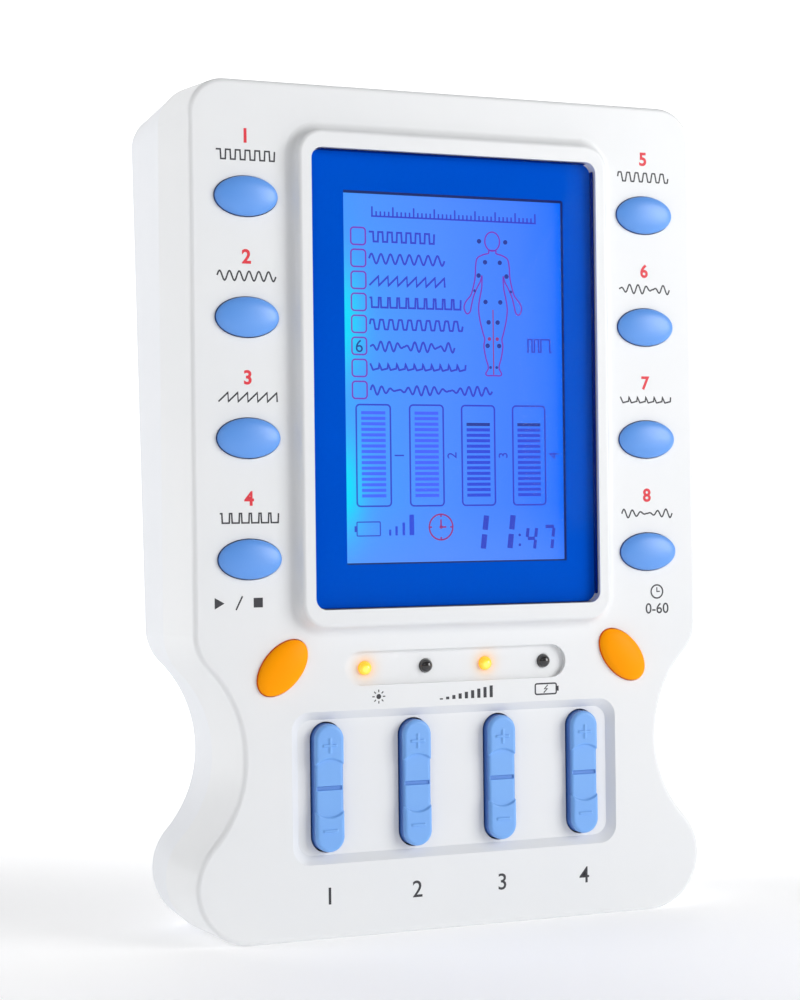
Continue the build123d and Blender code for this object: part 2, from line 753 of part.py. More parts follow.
def make_side_mats():
    """Silicone key mats on the board, one for each side, with a hollow dome under each push key."""
    mat_front = board_depth - mat_thickness
    for name, side in (("left_key_mat", -1), ("right_key_mat", 1)):
        places = [(x, z) for x, z, turn in push_keys.values() if x * side > 0]
        column = [z for x, z in places if abs(x) == program_x]
        web_z = (min(column) + round_key_z) / 2
        with BuildPart() as mat:
            extrude(box_sketch(board_depth, side * program_x, (max(column) + min(column)) / 2, mat_width,
                               max(column) - min(column) + mat_width, mat_radius), amount=mat_thickness)
            extrude(box_sketch(board_depth, side * (program_x - mat_width / 2), web_z, mat_width * 0.7,
                               min(column) - round_key_z, mat_radius), amount=mat_thickness)
            extrude(disc(board_depth, [(side * round_key_x, round_key_z)], mat_width / 2),
                    amount=mat_thickness)
            dome_shapes(places, mat_front, dome_top_depth())
        keep(name, mat.part)


def dome_shapes(places, mat_front, dome_top):
    """Hollow rubber domes with a contact pill inside, added to the mat that is being built."""
    for x, z in places:
        loft([disc(mat_front, [(x, z)], dome_base_radius), disc(dome_top, [(x, z)], dome_top_radius)])
    extrude(disc(board_depth, places, dome_base_radius - dome_wall), amount=mat_thickness, mode=Mode.SUBTRACT)
    for x, z in places:
        loft([disc(mat_front, [(x, z)], dome_base_radius - dome_wall),
              disc(dome_top + dome_wall / 2, [(x, z)], dome_top_radius - dome_wall)], mode=Mode.SUBTRACT)
    extrude(disc(board_depth - pill_travel, places, pill_radius),
            amount=board_depth - pill_travel - dome_top - dome_wall / 4)


def make_channel_keys():
    """Rocking channel keys with a raised pad at each end, and the mat that returns them."""
    panel_back = panel_depth + panel_wall
    rocker_top = panel_depth - rocker_crown
    rocker_back = panel_back + rocker_tail
    foot_end = rocker_back + foot_height
    for number, x in enumerate(channel_xs, start=1):
        with BuildPart() as rocker:
            with BuildSketch(face_plane(rocker_back)):
                with Locations((x, channel_z)):
                    SlotOverall(rocker_length, rocker_width, rotation=90)
            extrude(amount=rocker_back - rocker_top)
            fillet(rocker.faces().sort_by(Axis.Y)[0].edges(), rocker_edge_radius)
            middle = rocker_length - 2 * rocker_pad
            extrude(box_sketch(rocker_top + rocker_dip, x, channel_z, rocker_width + 1, middle),
                    amount=rocker_dip * 2, mode=Mode.SUBTRACT)
            extrude(box_sketch(pivot_depth + pivot_radius, x, channel_z, rocker_width, rib_width),
                    amount=pivot_depth + pivot_radius - rocker_back)
            extrude(disc(foot_end, [(x, channel_z - foot_offset), (x, channel_z + foot_offset)], foot_radius),
                    amount=foot_height)
            with BuildSketch(Plane.YZ.offset(x)):
                with Locations((face_y + pivot_depth, channel_z)):
                    Circle(pivot_radius)
            extrude(amount=rocker_width / 2 + rib_gap + pivot_length, both=True)
        keep(f"channel_key_{number}", rocker.part)
    places = [(x, channel_z + side * foot_offset) for x in channel_xs for side in (-1, 1)]
    mat_front = board_depth - mat_thickness
    with BuildPart() as mat:
        extrude(box_sketch(board_depth, 0, channel_z, panel_width - wall, 2 * foot_offset + mat_width * 0.75,
                           mat_radius), amount=mat_thickness)
        dome_top = foot_end + mat_gap
        for x, z in places:
            loft([disc(mat_front, [(x, z)], foot_radius + dome_wall), disc(dome_top, [(x, z)], foot_radius)])
        extrude(disc(board_depth, places, foot_radius), amount=mat_thickness / 2, mode=Mode.SUBTRACT)
    keep("channel_key_mat", mat.part)


def make_socket(node, x, nose_radius, bore_radius, bore_length):
    """A board-mounted socket with a round nose that passes through the top of the case."""
    with BuildPart() as socket:
        with BuildSketch(Plane.XY.offset(inner_top_z - socket_body)):
            with Locations((x, face_y + socket_axis)):
                Rectangle(socket_width, 2 * (socket_axis - board_back))
        extrude(amount=socket_body)
        with BuildSketch(Plane.XY.offset(inner_top_z)):
            with Locations((x, face_y + socket_axis)):
                Circle(nose_radius)
        extrude(amount=top_z + socket_proud - inner_top_z)
        with BuildSketch(Plane.XY.offset(top_z + socket_proud - bore_length)):
            with Locations((x, face_y + socket_axis)):
                Circle(bore_radius)
        extrude(amount=bore_length, mode=Mode.SUBTRACT)
    keep(node, socket.part)


def make_top_fittings():
    """Output sockets, charger inlet and power switch, all on the back of the board at its top edge."""
    for number, x in enumerate(socket_xs, start=1):
        make_socket(f"output_socket_{number}", x, socket_nose_radius, socket_bore, socket_bore_length)
    make_socket("charger_inlet", inlet_x, inlet_nose_radius, inlet_bore, inlet_bore_length)
    switch_top = inner_top_z - slider_flange_thickness - 2 * slider_gap
    with BuildPart() as switch:
        with BuildSketch(Plane.XY.offset(switch_top - switch_body)):
            with Locations((switch_x, face_y + board_back + switch_thickness / 2)):
                Rectangle(switch_width, switch_thickness)
        extrude(amount=switch_body)
    keep("power_switch", switch.part)
    slider_x = switch_x - switch_travel / 2
    with BuildPart() as slider:
        with BuildSketch(Plane.XY.offset(switch_top + slider_gap)):
            with Locations((slider_x, face_y + socket_axis)):
                Rectangle(slider_width + 2 * slider_flange, slider_depth + 2 * slider_flange)
        extrude(amount=slider_flange_thickness)
        with BuildSketch(Plane.XY.offset(switch_top + slider_gap)):
            with Locations((slider_x, face_y + socket_axis)):
                Rectangle(slider_width, slider_depth)
        extrude(amount=top_z + slider_proud - switch_top - slider_gap)
        with BuildSketch(Plane.XY.offset(top_z + slider_proud)):
            with Locations((slider_x, face_y + socket_axis)):
                with GridLocations(slider_rib_pitch, 0, slider_rib_count, 1):
                    Rectangle(slider_rib_width, slider_depth)
        extrude(amount=-slider_rib_depth, mode=Mode.SUBTRACT)
    keep("power_slider", slider.part)


def make_screws():
    """Long case screws in their wells and short board screws, each kind in one node."""
    with BuildPart() as long_screws:
        extrude(disc(screw_seat_depth + screw_head_height, screw_places, screw_head_radius),
                amount=screw_head_height)
        fillet(long_screws.faces().sort_by(Axis.Y)[-len(screw_places):].edges(), screw_head_edge)
        extrude(disc(screw_seat_depth, screw_places, screw_radius), amount=screw_length)
        cross_recess(screw_places, screw_seat_depth + screw_head_height, screw_head_radius * recess_span)
    keep("case_screws", long_screws.part)
    with BuildPart() as short_screws:
        head_back = board_back + board_head_height
        extrude(disc(head_back, board_screws, board_head_radius), amount=board_head_height)
        fillet(short_screws.faces().sort_by(Axis.Y)[-len(board_screws):].edges(), board_head_edge)
        extrude(disc(board_back, board_screws, board_screw_radius), amount=board_thickness + face_wall)
        cross_recess(board_screws, head_back, board_head_radius * recess_span)
    keep("board_screws", short_screws.part)


def cross_recess(places, head_back, span):
    """Cross recesses cut into the heads of the screws that are being built."""
    with BuildSketch(face_plane(head_back)) as cross:
        with Locations(*places):
            Rectangle(span, recess_width)
            Rectangle(recess_width, span)
    extrude(cross.sketch, amount=recess_width, mode=Mode.SUBTRACT)


def make_feet():
    """Round rubber feet let into the back."""
    with BuildPart() as feet:
        with BuildSketch(back_plane(foot_pad_sink)):
            with Locations(*[(side * x, v) for side in (-1, 1) for x, v in foot_pads]):
                Circle(foot_pad_radius)
        extrude(amount=foot_pad_thickness)
        fillet(feet.faces().sort_by(back_axis())[-2 * len(foot_pads):].edges(), foot_pad_edge)
    keep("rear_feet", feet.part)


def back_axis():
    """The direction that points straight out of the sloping back."""
    return Axis((0, 0, 0), (0, 1, -slope))


def make_electronics():
    """Transformers, chips, capacitors and buzzer on the back of the board."""
    coil_face = board_back + core_depth * 0.8
    with BuildPart() as cores:
        for x in transformer_xs:
            extrude(box_sketch(board_back + core_depth, x, transformer_z, core_width, core_height),
                    amount=core_depth)
            extrude(box_sketch(coil_face, x, transformer_z, core_width * core_window, core_height),
                    amount=core_depth * 0.6, mode=Mode.SUBTRACT)
    keep("transformer_cores", cores.part)
    with BuildPart() as coils:
        for x in transformer_xs:
            extrude(box_sketch(coil_face, x, transformer_z, core_width * core_window,
                               core_height + coil_overhang, coil_radius), amount=core_depth * 0.6)
    keep("transformer_coils", coils.part)
    with BuildPart() as chips:
        for (x, z), width, height, legs_width, legs_height, count in chips_laid:
            extrude(box_sketch(board_back + chip_lift + chip_thickness, x, z, width, height, chip_radius),
                    amount=chip_thickness)
        chamfer(chips.faces().sort_by(Axis.Y)[-len(chips_laid):].edges(), chip_edge)
        for (x, z), width, height, legs_width, legs_height, count in chips_laid:
            with BuildSketch(face_plane(board_back + leg_thickness)):
                with Locations((x, z)):
                    with GridLocations(0, legs_height / (count + 1), 1, count):
                        Rectangle(legs_width, leg_thickness)
            extrude(amount=leg_thickness)
    keep("control_chips", chips.part)
    with BuildPart() as cans:
        extrude(disc(board_back + capacitor_height, capacitor_places, capacitor_radius),
                amount=capacitor_height)
        fillet(cans.faces().sort_by(Axis.Y)[-len(capacitor_places):].edges(), capacitor_edge)
    keep("capacitors", cans.part)
    with BuildPart() as buzzer:
        extrude(disc(board_back + buzzer_height, [buzzer_place], buzzer_radius), amount=buzzer_height)
        chamfer(buzzer.faces().sort_by(Axis.Y)[-1].edges(), buzzer_edge)
        extrude(disc(board_back + buzzer_height, [buzzer_place], buzzer_hole_radius),
                amount=buzzer_hole_depth, mode=Mode.SUBTRACT)
    keep("buzzer", buzzer.part)


make_front_case()
make_rear_case()
make_battery_door()
make_cells()
make_display()
make_board()
make_push_keys()
make_side_mats()
make_channel_keys()
make_top_fittings()
make_screws()
make_feet()
make_electronics()

os.makedirs("parts", exist_ok=True)
for name, part in parts.items():
    export_step(part, f"parts/{name}.step")
print(f"{len(parts)} nodes, hinge line at {hinge_point()}")
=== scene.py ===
import json
import math
from functools import partial

import bpy
import numpy as np
from mathutils import Matrix, Vector


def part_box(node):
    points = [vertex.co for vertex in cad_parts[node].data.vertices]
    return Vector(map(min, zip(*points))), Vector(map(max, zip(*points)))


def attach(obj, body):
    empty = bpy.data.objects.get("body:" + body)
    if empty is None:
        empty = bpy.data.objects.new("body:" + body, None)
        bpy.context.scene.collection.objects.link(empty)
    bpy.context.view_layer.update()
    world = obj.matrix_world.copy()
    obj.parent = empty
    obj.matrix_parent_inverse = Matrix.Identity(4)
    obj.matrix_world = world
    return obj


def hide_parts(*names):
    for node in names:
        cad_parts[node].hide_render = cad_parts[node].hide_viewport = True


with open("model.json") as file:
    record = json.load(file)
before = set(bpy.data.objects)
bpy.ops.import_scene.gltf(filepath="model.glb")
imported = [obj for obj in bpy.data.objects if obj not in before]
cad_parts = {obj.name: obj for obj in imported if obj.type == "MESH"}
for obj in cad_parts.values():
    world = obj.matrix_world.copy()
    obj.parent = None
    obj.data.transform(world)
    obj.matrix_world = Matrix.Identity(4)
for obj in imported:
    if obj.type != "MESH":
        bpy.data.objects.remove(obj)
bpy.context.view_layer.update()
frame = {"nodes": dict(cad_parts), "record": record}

# Physiotherapy stimulator: keys, lamps, display marks and printed symbols built around the fixed frame.
# X is to the right seen from the front, -Y out of the face, +Z up. Everything is in metres.
mm = 0.001
print("frame loaded:", len(frame["nodes"]), "nodes")


def tint(red, green, blue):
    # a screen colour from 0 to 255 as linear light
    steps = np.array([red, green, blue]) / 255
    light = np.where(steps <= 0.04045, steps / 12.92, ((steps + 0.055) / 1.055) ** 2.4)
    return (*[float(part) for part in light], 1.0)


# camera: its place, its direction, its roll and its lens
view = {"place": (-0.1864, -0.4397, 0.0906), "toward": (0.3791, 0.9253, 0.0070), "roll": 0.01165,
        "lens": 75.77, "sensor": 36.0}

toward = Vector(view["toward"]).normalized()
across = toward.cross(Vector((0, 0, 1))).normalized()
upward = across.cross(toward)
across, upward = across - view["roll"] * upward, upward + view["roll"] * across
turn = Matrix((across, upward, -toward)).transposed().to_4x4()
cameraData = bpy.data.cameras.new("camera")
cameraData.lens = view["lens"]
cameraData.sensor_width = view["sensor"]
cameraData.clip_start = 0.01
camera = bpy.data.objects.new("camera", cameraData)
camera.matrix_world = Matrix.Translation(view["place"]) @ turn
bpy.context.scene.collection.objects.link(camera)
bpy.context.scene.camera = camera
bpy.context.scene.view_settings.view_transform = "Standard"


class Wire:
    # a shader socket that takes part in sums: every sum adds its own Math node

    def __init__(self, tree, socket=None):
        self.tree = tree
        self.socket = socket

    def add(self, kind, settings=None, inputs=None, out=0):
        # any node: its type, its settings, then the values or links of its sockets
        node = self.tree.nodes.new("ShaderNode" + kind)
        for key, value in (settings or {}).items():
            if key == "stops":
                while len(node.color_ramp.elements) < len(value):
                    node.color_ramp.elements.new(0.5)
                for stop, (place, colour) in zip(node.color_ramp.elements, value):
                    stop.position = place
                    stop.color = colour
            else:
                setattr(node, key, value)
        for key, value in (inputs or {}).items():
            if isinstance(value, Wire):
                self.tree.links.new(value.socket, node.inputs[key])
            else:
                node.inputs[key].default_value = value
        return Wire(self.tree, node.outputs[out] if node.outputs else None)

    def math(self, operation, *terms):
        return self.add("Math", {"operation": operation}, dict(enumerate(terms)))

    def noise(self, scale, detail=2.0, roughness=0.5):
        return self.add("TexNoise", None, {"Vector": self, "Scale": scale, "Detail": detail, "Roughness": roughness})

    def mix(self, low, high, style="MIX"):
        # this value, 0 to 1, goes from one colour to the other
        return self.add("Mix", {"data_type": "RGBA", "blend_type": style}, {0: self, 6: low, 7: high}, 2)

    def between(self, pair):
        return self.mix(*[tint(*part) for part in pair])

    def axes(self):
        split = self.add("SeparateXYZ", None, {0: self})
        return [Wire(self.tree, split.socket.node.outputs[axis]) for axis in range(3)]

    def limit(self):
        return self.add("Clamp", None, {"Value": self})

    def bump(self, depth, strength=1.0):
        return self.add("Bump", None, {"Height": self, "Distance": depth, "Strength": strength})


sums = {"add": "ADD", "sub": "SUBTRACT", "mul": "MULTIPLY", "truediv": "DIVIDE", "pow": "POWER"}
for sign, operation in sums.items():
    setattr(Wire, f"__{sign}__", lambda self, other, kind=operation: self.math(kind, self, other))
    setattr(Wire, f"__r{sign}__", lambda self, other, kind=operation: self.math(kind, other, self))


finishes = {}


def newFinish(slot):
    # an empty material and the object coordinates that its patterns read
    material = bpy.data.materials.new(slot)
    material.use_nodes = True
    material.node_tree.nodes.clear()
    finishes[slot] = material
    start = Wire(material.node_tree)
    return start, start.add("TexCoord", None, None, 3)


def shade(start, colour, rough, normal=None, **constants):
    # the closing shader: links for what varies, plain values for what doesn't
    sockets = {"Base Color": colour, "Roughness": rough}
    if normal is not None:
        sockets["Normal"] = normal
    sockets.update({key.replace("_", " "): value for key, value in constants.items()})
    surface = start.add("BsdfPrincipled", None, sockets)
    start.add("OutputMaterial", None, {"Surface": surface})


usualPlastic = {"cloud": 55.0, "depth": 0.00003, "strength": 0.6, "uneven": 0.08, "wear": 160.0, "warmSpots": (),
                "warmShare": 0.75}
shaderKeys = ("Coat_Weight", "Coat_Roughness", "Specular_IOR_Level", "Sheen_Weight", "Emission_Color",
              "Emission_Strength")


def moulded(slot, look):
    # moulded plastic or rubber: faint clouding of the colour, uneven gloss and a fine grain in the surface
    start, place = newFinish(slot)
    look = {**usualPlastic, **look}
    cloud = place.noise(look["cloud"], 3.0)
    grain = place.noise(look["grain"], 2.0, 0.6)
    colour = cloud.between(look["tints"])
    # painted shade: the wall of a key is made darker down towards the face, standing in for the shadow on the wall
    # and in the gap round the key
    if "wallColour" in look:  # deepens down the wall of a key
        down = (place.axes()[1] - look["wallFrom"]) / look["wallSoft"]
        colour = (down.limit() * look["wallShare"]).mix(colour, look["wallColour"])
    for x, z in look["warmSpots"]:  # light from a lit lamp on the plastic round it
        across, y, up = place.axes()
        out = ((across - x) ** 2 + (up - z) ** 2) * look["warmSpread"]
        colour = (start.math("EXPONENT", 0.0 - out) * look["warmShare"]).mix(colour, look["warm"])
    rough = look["rough"] + look["uneven"] * (place.noise(look["wear"], 4.0) - 0.5)
    extras = {key: look[key] for key in shaderKeys if key in look}
    shade(start, colour, rough, grain.bump(look["depth"], look["strength"]), **extras)


metalWear = {"mottle": 400.0, "scratchGloss": 0.18, "mottleGloss": 0.1, "depth": 0.00001, "strength": 0.5}


def plated(slot, look):
    # plated or brushed metal: long fine scratches along one direction over a mottled gloss
    start, place = newFinish(slot)
    drawn = place.add("Mapping", None, {"Vector": place, "Scale": look["stretch"]})
    scratches = drawn.noise(look["scratch"], 3.0, 0.7)
    mottle = place.noise(metalWear["mottle"], 3.0)
    colour = mottle.between(look["tints"])
    rough = look["rough"] + metalWear["scratchGloss"] * (scratches - 0.5) + metalWear["mottleGloss"] * (mottle - 0.5)
    shade(start, colour, rough, scratches.bump(metalWear["depth"], metalWear["strength"]), Metallic=1.0)


# floor and lights
stageLook = {"floor": tint(252, 252, 253), "speck": tint(250, 250, 251), "near": (0.23, 0.23, 0.23, 1),
             "far": (0.85, 0.85, 0.85, 1), "dimUntil": 0.03, "glowRise": 0.3, "size": 6.0, "bend": 1.0,
             "bendSteps": 24, "back": 1.6, "rise": 3.0}
ahead = Vector((toward.x, toward.y, 0)).normalized()


def sweptSheet(look):
    # a flat floor that turns up in a quarter circle behind the object, as wide as it is long
    side = Vector((ahead.y, -ahead.x, 0))
    bend = np.linspace(0, np.pi / 2, look["bendSteps"])
    out = look["back"] + look["bend"] * np.sin(bend)
    out = np.concatenate([[-look["size"] / 2], out, [look["back"] + look["bend"]]])
    up = np.concatenate([[0.0], look["bend"] * (1 - np.cos(bend)), [look["rise"]]])
    along = np.linspace(-look["size"] / 2, look["size"] / 2, 2)
    points = (out[:, None, None] * np.array(ahead) + along[None, :, None] * np.array(side)
              + up[:, None, None] * np.array((0, 0, 1)))
    row = np.arange(len(out) - 1) * 2
    faces = np.stack([row, row + 1, row + 3, row + 2], -1)
    mesh = bpy.data.meshes.new("floor")
    mesh.from_pydata(points.reshape(-1, 3).tolist(), [], faces.tolist())
    mesh.shade_smooth()
    mesh.materials.append(finishes["floor_paper"])
    return mesh


def makeStage(look):
    # the sheet of paper that the object stands on, and how much of it glows
    start, place = newFinish("floor_paper")
    speck = place.noise(40.0, 3.0)
    x, y, z = place.axes()
    beyond = x * ahead.x + y * ahead.y + z  # the sheet glows behind the object and stays plain in front of it
    glowing = ((beyond - look["dimUntil"]) / look["glowRise"]).limit().mix(look["near"], look["far"])
    shade(start, speck.mix(look["floor"], look["speck"]), 0.7, speck.bump(0.0001, 0.1),
          Emission_Color=glowing, Emission_Strength=1.0)
    sheet = bpy.data.objects.new("floor", sweptSheet(look))
    bpy.context.scene.collection.objects.link(sheet)


def softLight(name, look):
    # an oblong lamp turned to the middle of the object
    data = bpy.data.lights.new(name, "AREA")
    data.shape = "RECTANGLE"
    data.size, data.size_y = look["size"]
    data.energy = look["power"]
    lamp = bpy.data.objects.new(name, data)
    direction = Vector(room["aim"]) - Vector(look["place"])
    lamp.matrix_world = Matrix.Translation(look["place"]) @ direction.to_track_quat("-Z", "Y").to_matrix().to_4x4()
    bpy.context.scene.collection.objects.link(lamp)


makeStage(stageLook)
room = {"aim": (0, 0, 0.09), "colour": (1.0, 1.0, 1.0, 1.0), "power": 0.23}
lights = {
    "key_light": {"place": (1.08, -1.05, 0.5), "size": (0.9, 0.9), "power": 15.6},
    "side_light": {"place": (-1.42, 0.36, 0.45), "size": (0.7, 1.1), "power": 8.9},
    "front_light": {"place": (-0.95, -1.1, 0.7), "size": (0.35, 0.35), "power": 1.1},
}
for name, look in lights.items():
    softLight(name, look)
world = bpy.data.worlds.new("white_room")
world.use_nodes = True
background = world.node_tree.nodes["Background"].inputs
background[0].default_value, background[1].default_value = room["colour"], room["power"]
bpy.context.scene.world = world


# finishes of the case, the keys and the hidden fittings
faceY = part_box("program_key_1")[0].y + 1.9 * mm
litPlaces = [((low.x + high.x) / 2, (low.z + high.z) / 2)
             for low, high in (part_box("status_led_1"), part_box("status_led_3"))]
plastics = {
    "case_white": {"tints": ((238, 239, 240), (234, 236, 238)), "rough": 0.36, "grain": 2600.0, "depth": 0.00002,
        "strength": 0.18, "Coat_Weight": 0.12, "Coat_Roughness": 0.2, "warmSpots": litPlaces,
        "warmSpread": 190000.0, "warm": tint(255, 196, 96)},
    # painted shade: the rear case and the battery door below are a darker copy of the case white, so the back, lit
    # from behind, comes out less bright
    "back_white": {"tints": ((233, 235, 239), (228, 231, 236)), "rough": 0.44, "grain": 1900.0, "depth": 0.00004,
        "strength": 0.3},
    "door_white": {"tints": ((231, 233, 238), (226, 229, 235)), "rough": 0.45, "grain": 1900.0, "depth": 0.00004,
        "strength": 0.3},
    "tray_white": {"tints": ((228, 230, 230), (216, 219, 220)), "rough": 0.6, "grain": 1500.0},
    "border_blue": {"tints": ((0, 86, 212), (0, 78, 200)), "rough": 0.5, "grain": 5200.0, "depth": 0.00001,
        "strength": 0.2, "cloud": 22.0, "Specular_IOR_Level": 0.0},
    "light_guide": {"tints": ((214, 234, 246), (196, 224, 244)), "rough": 0.5, "grain": 3200.0},
    "silicone": {"tints": ((196, 200, 204), (180, 186, 190)), "rough": 0.62, "grain": 1200.0, "Sheen_Weight": 0.15},
    "socket_black": {"tints": ((26, 27, 29), (36, 37, 39)), "rough": 0.42, "grain": 2400.0},
    "slider_grey": {"tints": ((60, 63, 68), (74, 77, 82)), "rough": 0.5, "grain": 2600.0},
    "foot_rubber": {"tints": ((38, 39, 41), (56, 56, 57)), "rough": 0.82, "grain": 1500.0, "depth": 0.00006,
        "strength": 0.8, "Sheen_Weight": 0.1},
    "core_ferrite": {"tints": ((62, 62, 65), (78, 77, 78)), "rough": 0.66, "grain": 1700.0, "depth": 0.00004},
    "chip_black": {"tints": ((30, 31, 33), (40, 41, 43)), "rough": 0.55, "grain": 3000.0},
    "buzzer_black": {"tints": ((24, 25, 27), (34, 35, 36)), "rough": 0.38, "grain": 1800.0, "depth": 0.00002},
    # painted shade: each key's wall colour darkens its wall and the gap round it
    "key_blue": {"tints": ((98, 161, 242), (90, 153, 237)), "rough": 0.4, "grain": 2400.0, "depth": 0.00001,
        "strength": 0.25, "Coat_Weight": 0.42, "Coat_Roughness": 0.34, "wallColour": tint(14, 62, 168),
        "wallFrom": faceY - 0.35 * mm, "wallSoft": 0.35 * mm, "wallShare": 0.85},
    "rocker_blue": {"tints": ((124, 180, 247), (116, 172, 243)), "rough": 0.46, "grain": 2000.0, "depth": 0.00001,
        "strength": 0.3, "Coat_Weight": 0.16, "Coat_Roughness": 0.34, "wallColour": tint(34, 84, 178),
        "wallFrom": faceY - 0.6 * mm, "wallSoft": 0.7 * mm, "wallShare": 0.75},
    # painted glow: the orange keys give off a faint orange light of their own
    "key_orange": {"tints": ((255, 163, 0), (255, 150, 0)), "rough": 0.42, "grain": 2400.0, "depth": 0.00001,
        "strength": 0.25, "Specular_IOR_Level": 0.08, "Emission_Color": tint(255, 150, 0),
        "Emission_Strength": 0.1, "wallColour": tint(240, 62, 0), "wallFrom": faceY - 0.6 * mm,
        "wallSoft": 0.5 * mm, "wallShare": 0.8},
    "print_black": {"tints": ((44, 44, 50), (58, 58, 64)), "rough": 0.5, "grain": 5000.0, "depth": 0.000005},
    "print_red": {"tints": ((222, 34, 52), (232, 50, 66)), "rough": 0.48, "grain": 5000.0, "depth": 0.000005},
}
for slot, look in plastics.items():
    moulded(slot, look)

metals = {
    "tinned_wire": {"tints": ((206, 208, 210), (180, 182, 186)), "rough": 0.32, "stretch": (1, 0.1, 1),
        "scratch": 4000.0},
    "contact_nickel": {"tints": ((206, 202, 192), (186, 182, 172)), "rough": 0.28, "stretch": (1, 1, 0.1),
        "scratch": 3000.0},
    "switch_metal": {"tints": ((190, 192, 196), (168, 170, 174)), "rough": 0.34, "stretch": (0.08, 1, 1),
        "scratch": 3000.0},
    "screw_steel": {"tints": ((176, 178, 182), (150, 152, 158)), "rough": 0.3, "stretch": (1, 1, 1),
        "scratch": 2500.0},
}
for slot, look in metals.items():
    plated(slot, look)


window = {"bevel": 0.35 * mm, "radius": 2.5 * mm, "lift": 0.02 * mm, "bevelSteps": 6, "cornerSteps": 9,
          "colour": (1.0, 1.0, 1.0, 1.0), "rough": 0.05, "ripple": 30.0, "gloss": 0.035, "index": 1.45,
          "border": 0.14 * mm, "edgeShadeSoft": 0.1 * mm, "edgeShade": tint(8, 50, 140)}


def clearWindow(look):
    # polished clear plastic: light goes straight through, and a little is mirrored at the surface
    start, place = newFinish("lens_clear")
    ripple = place.noise(look["ripple"], 2.0).bump(0.00001, 0.2)
    mirrored = start.add("BsdfGlossy", None, {"Color": (1, 1, 1, 1), "Roughness": look["rough"], "Normal": ripple})
    through = start.add("BsdfTransparent", None, {"Color": look["colour"]})
    edge = start.add("Fresnel", None, {"IOR": look["index"]}) * look["gloss"]
    clear = start.add("MixShader", None, {0: edge, 1: through, 2: mirrored})
    x, y, z = place.axes()
    low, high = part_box("display_lens")
    outX = start.math("ABSOLUTE", x) - (high.x - look["border"])
    outZ = start.math("ABSOLUTE", z - (low.z + high.z) / 2) - ((high.z - low.z) / 2 - look["border"])
    # painted shade: the window's side walls behind the rounded front edge turn dark blue near its outline, in place
    # of the shade inside the window's edge
    wall = ((y - low.y - look["bevel"]) / look["edgeShadeSoft"]).limit()
    edgeShadeShare = (start.math("MAXIMUM", outX, outZ) / (0.2 * look["border"])).limit() * wall
    edgeShade = start.add("BsdfDiffuse", None, {"Color": look["edgeShade"]})
    start.add("OutputMaterial", None, {"Surface": start.add("MixShader", None, {0: edgeShadeShare, 1: clear, 2: edgeShade})})


clearWindow(window)


# the lit display: one glow for the panel, and the same glow filtered for each kind of mark
glow = {
    "acrossStops": [(0.0, tint(70, 152, 255)), (0.1, tint(76, 150, 255)), (0.45, tint(76, 140, 255)),
                    (0.8, tint(62, 127, 255)), (0.93, tint(40, 118, 254)), (1.0, tint(6, 108, 250))],
    "halfWidth": 26.3 * mm, "middle": 0.45 * mm, "cyan": tint(0, 222, 250), "pale": tint(96, 150, 255),
    "lampHeights": (132.4 * mm, 96.0 * mm), "reach": 3.2 * mm, "spread": 11.0 * mm, "coreFall": 0.55,
    "coreShare": 0.95, "haloFall": 0.32, "haloRise": 0.5, "haloShare": 0.2, "footTop": 93.0 * mm,
    "footDepth": 14.0 * mm, "footShare": 0.5, "power": 1.0, "grain": 2400.0, "grainShare": 0.08,
    "grainColour": tint(60, 90, 220), "unlit": tint(8, 16, 60),
}


def backlight(start, place):
    # blue that deepens to the right, cyan spots where the two edge lamps shine in on the left, paler at the foot
    x, y, z = place.axes()
    x = x - glow["middle"]
    share = ((x / (2 * glow["halfWidth"])) + 0.5).limit()
    colour = start.add("ValToRGB", {"stops": glow["acrossStops"]}, {0: share})
    left = (x + glow["halfWidth"]) / glow["reach"]
    for height in glow["lampHeights"]:
        rise = (z - height) / glow["spread"]
        core = start.math("EXPONENT", 0.0 - (left * left * glow["coreFall"] + rise * rise))
        halo = start.math("EXPONENT", 0.0 - (left * glow["haloFall"] + rise * rise * glow["haloRise"]))
        colour = (core * glow["coreShare"] + halo * glow["haloShare"]).limit().mix(colour, glow["cyan"])
    foot = ((glow["footTop"] - z) / glow["footDepth"]).limit() * glow["footShare"]
    return foot.mix(colour, glow["pale"])


def displayFinish(slot, colour, share):
    # the glow, covered by the mark's own colour for a share of its light
    start, place = newFinish(slot)
    lit = start.add("Mix", {"data_type": "RGBA"}, {0: share, 6: backlight(start, place), 7: colour}, 2)
    grain = place.noise(glow["grain"], 1.0)
    lit = (grain * glow["grainShare"]).limit().mix(lit, glow["grainColour"])
    shade(start, glow["unlit"], 0.35 + 0.1 * grain, Emission_Color=lit, Emission_Strength=glow["power"],
          Specular_IOR_Level=0.1)


displayMarks = {
    "lcd_panel": (tint(76, 140, 255), 0.0),
    "mark_violet": (tint(128, 36, 172), 0.88),
    "mark_indigo": (tint(50, 40, 186), 0.86),
    "mark_red": (tint(158, 24, 70), 0.88),
    "mark_dark": (tint(30, 26, 112), 0.88),
    "mark_digit": (tint(44, 44, 176), 0.85),
    "bar_pale": (tint(70, 84, 250), 0.8),
    "bar_deep": (tint(42, 52, 206), 0.85),
    # painted shade along the inside of the window's edge
    "mark_edge_shade": (tint(24, 14, 40), 0.92),
}
for slot, (colour, share) in displayMarks.items():
    displayFinish(slot, colour, share)


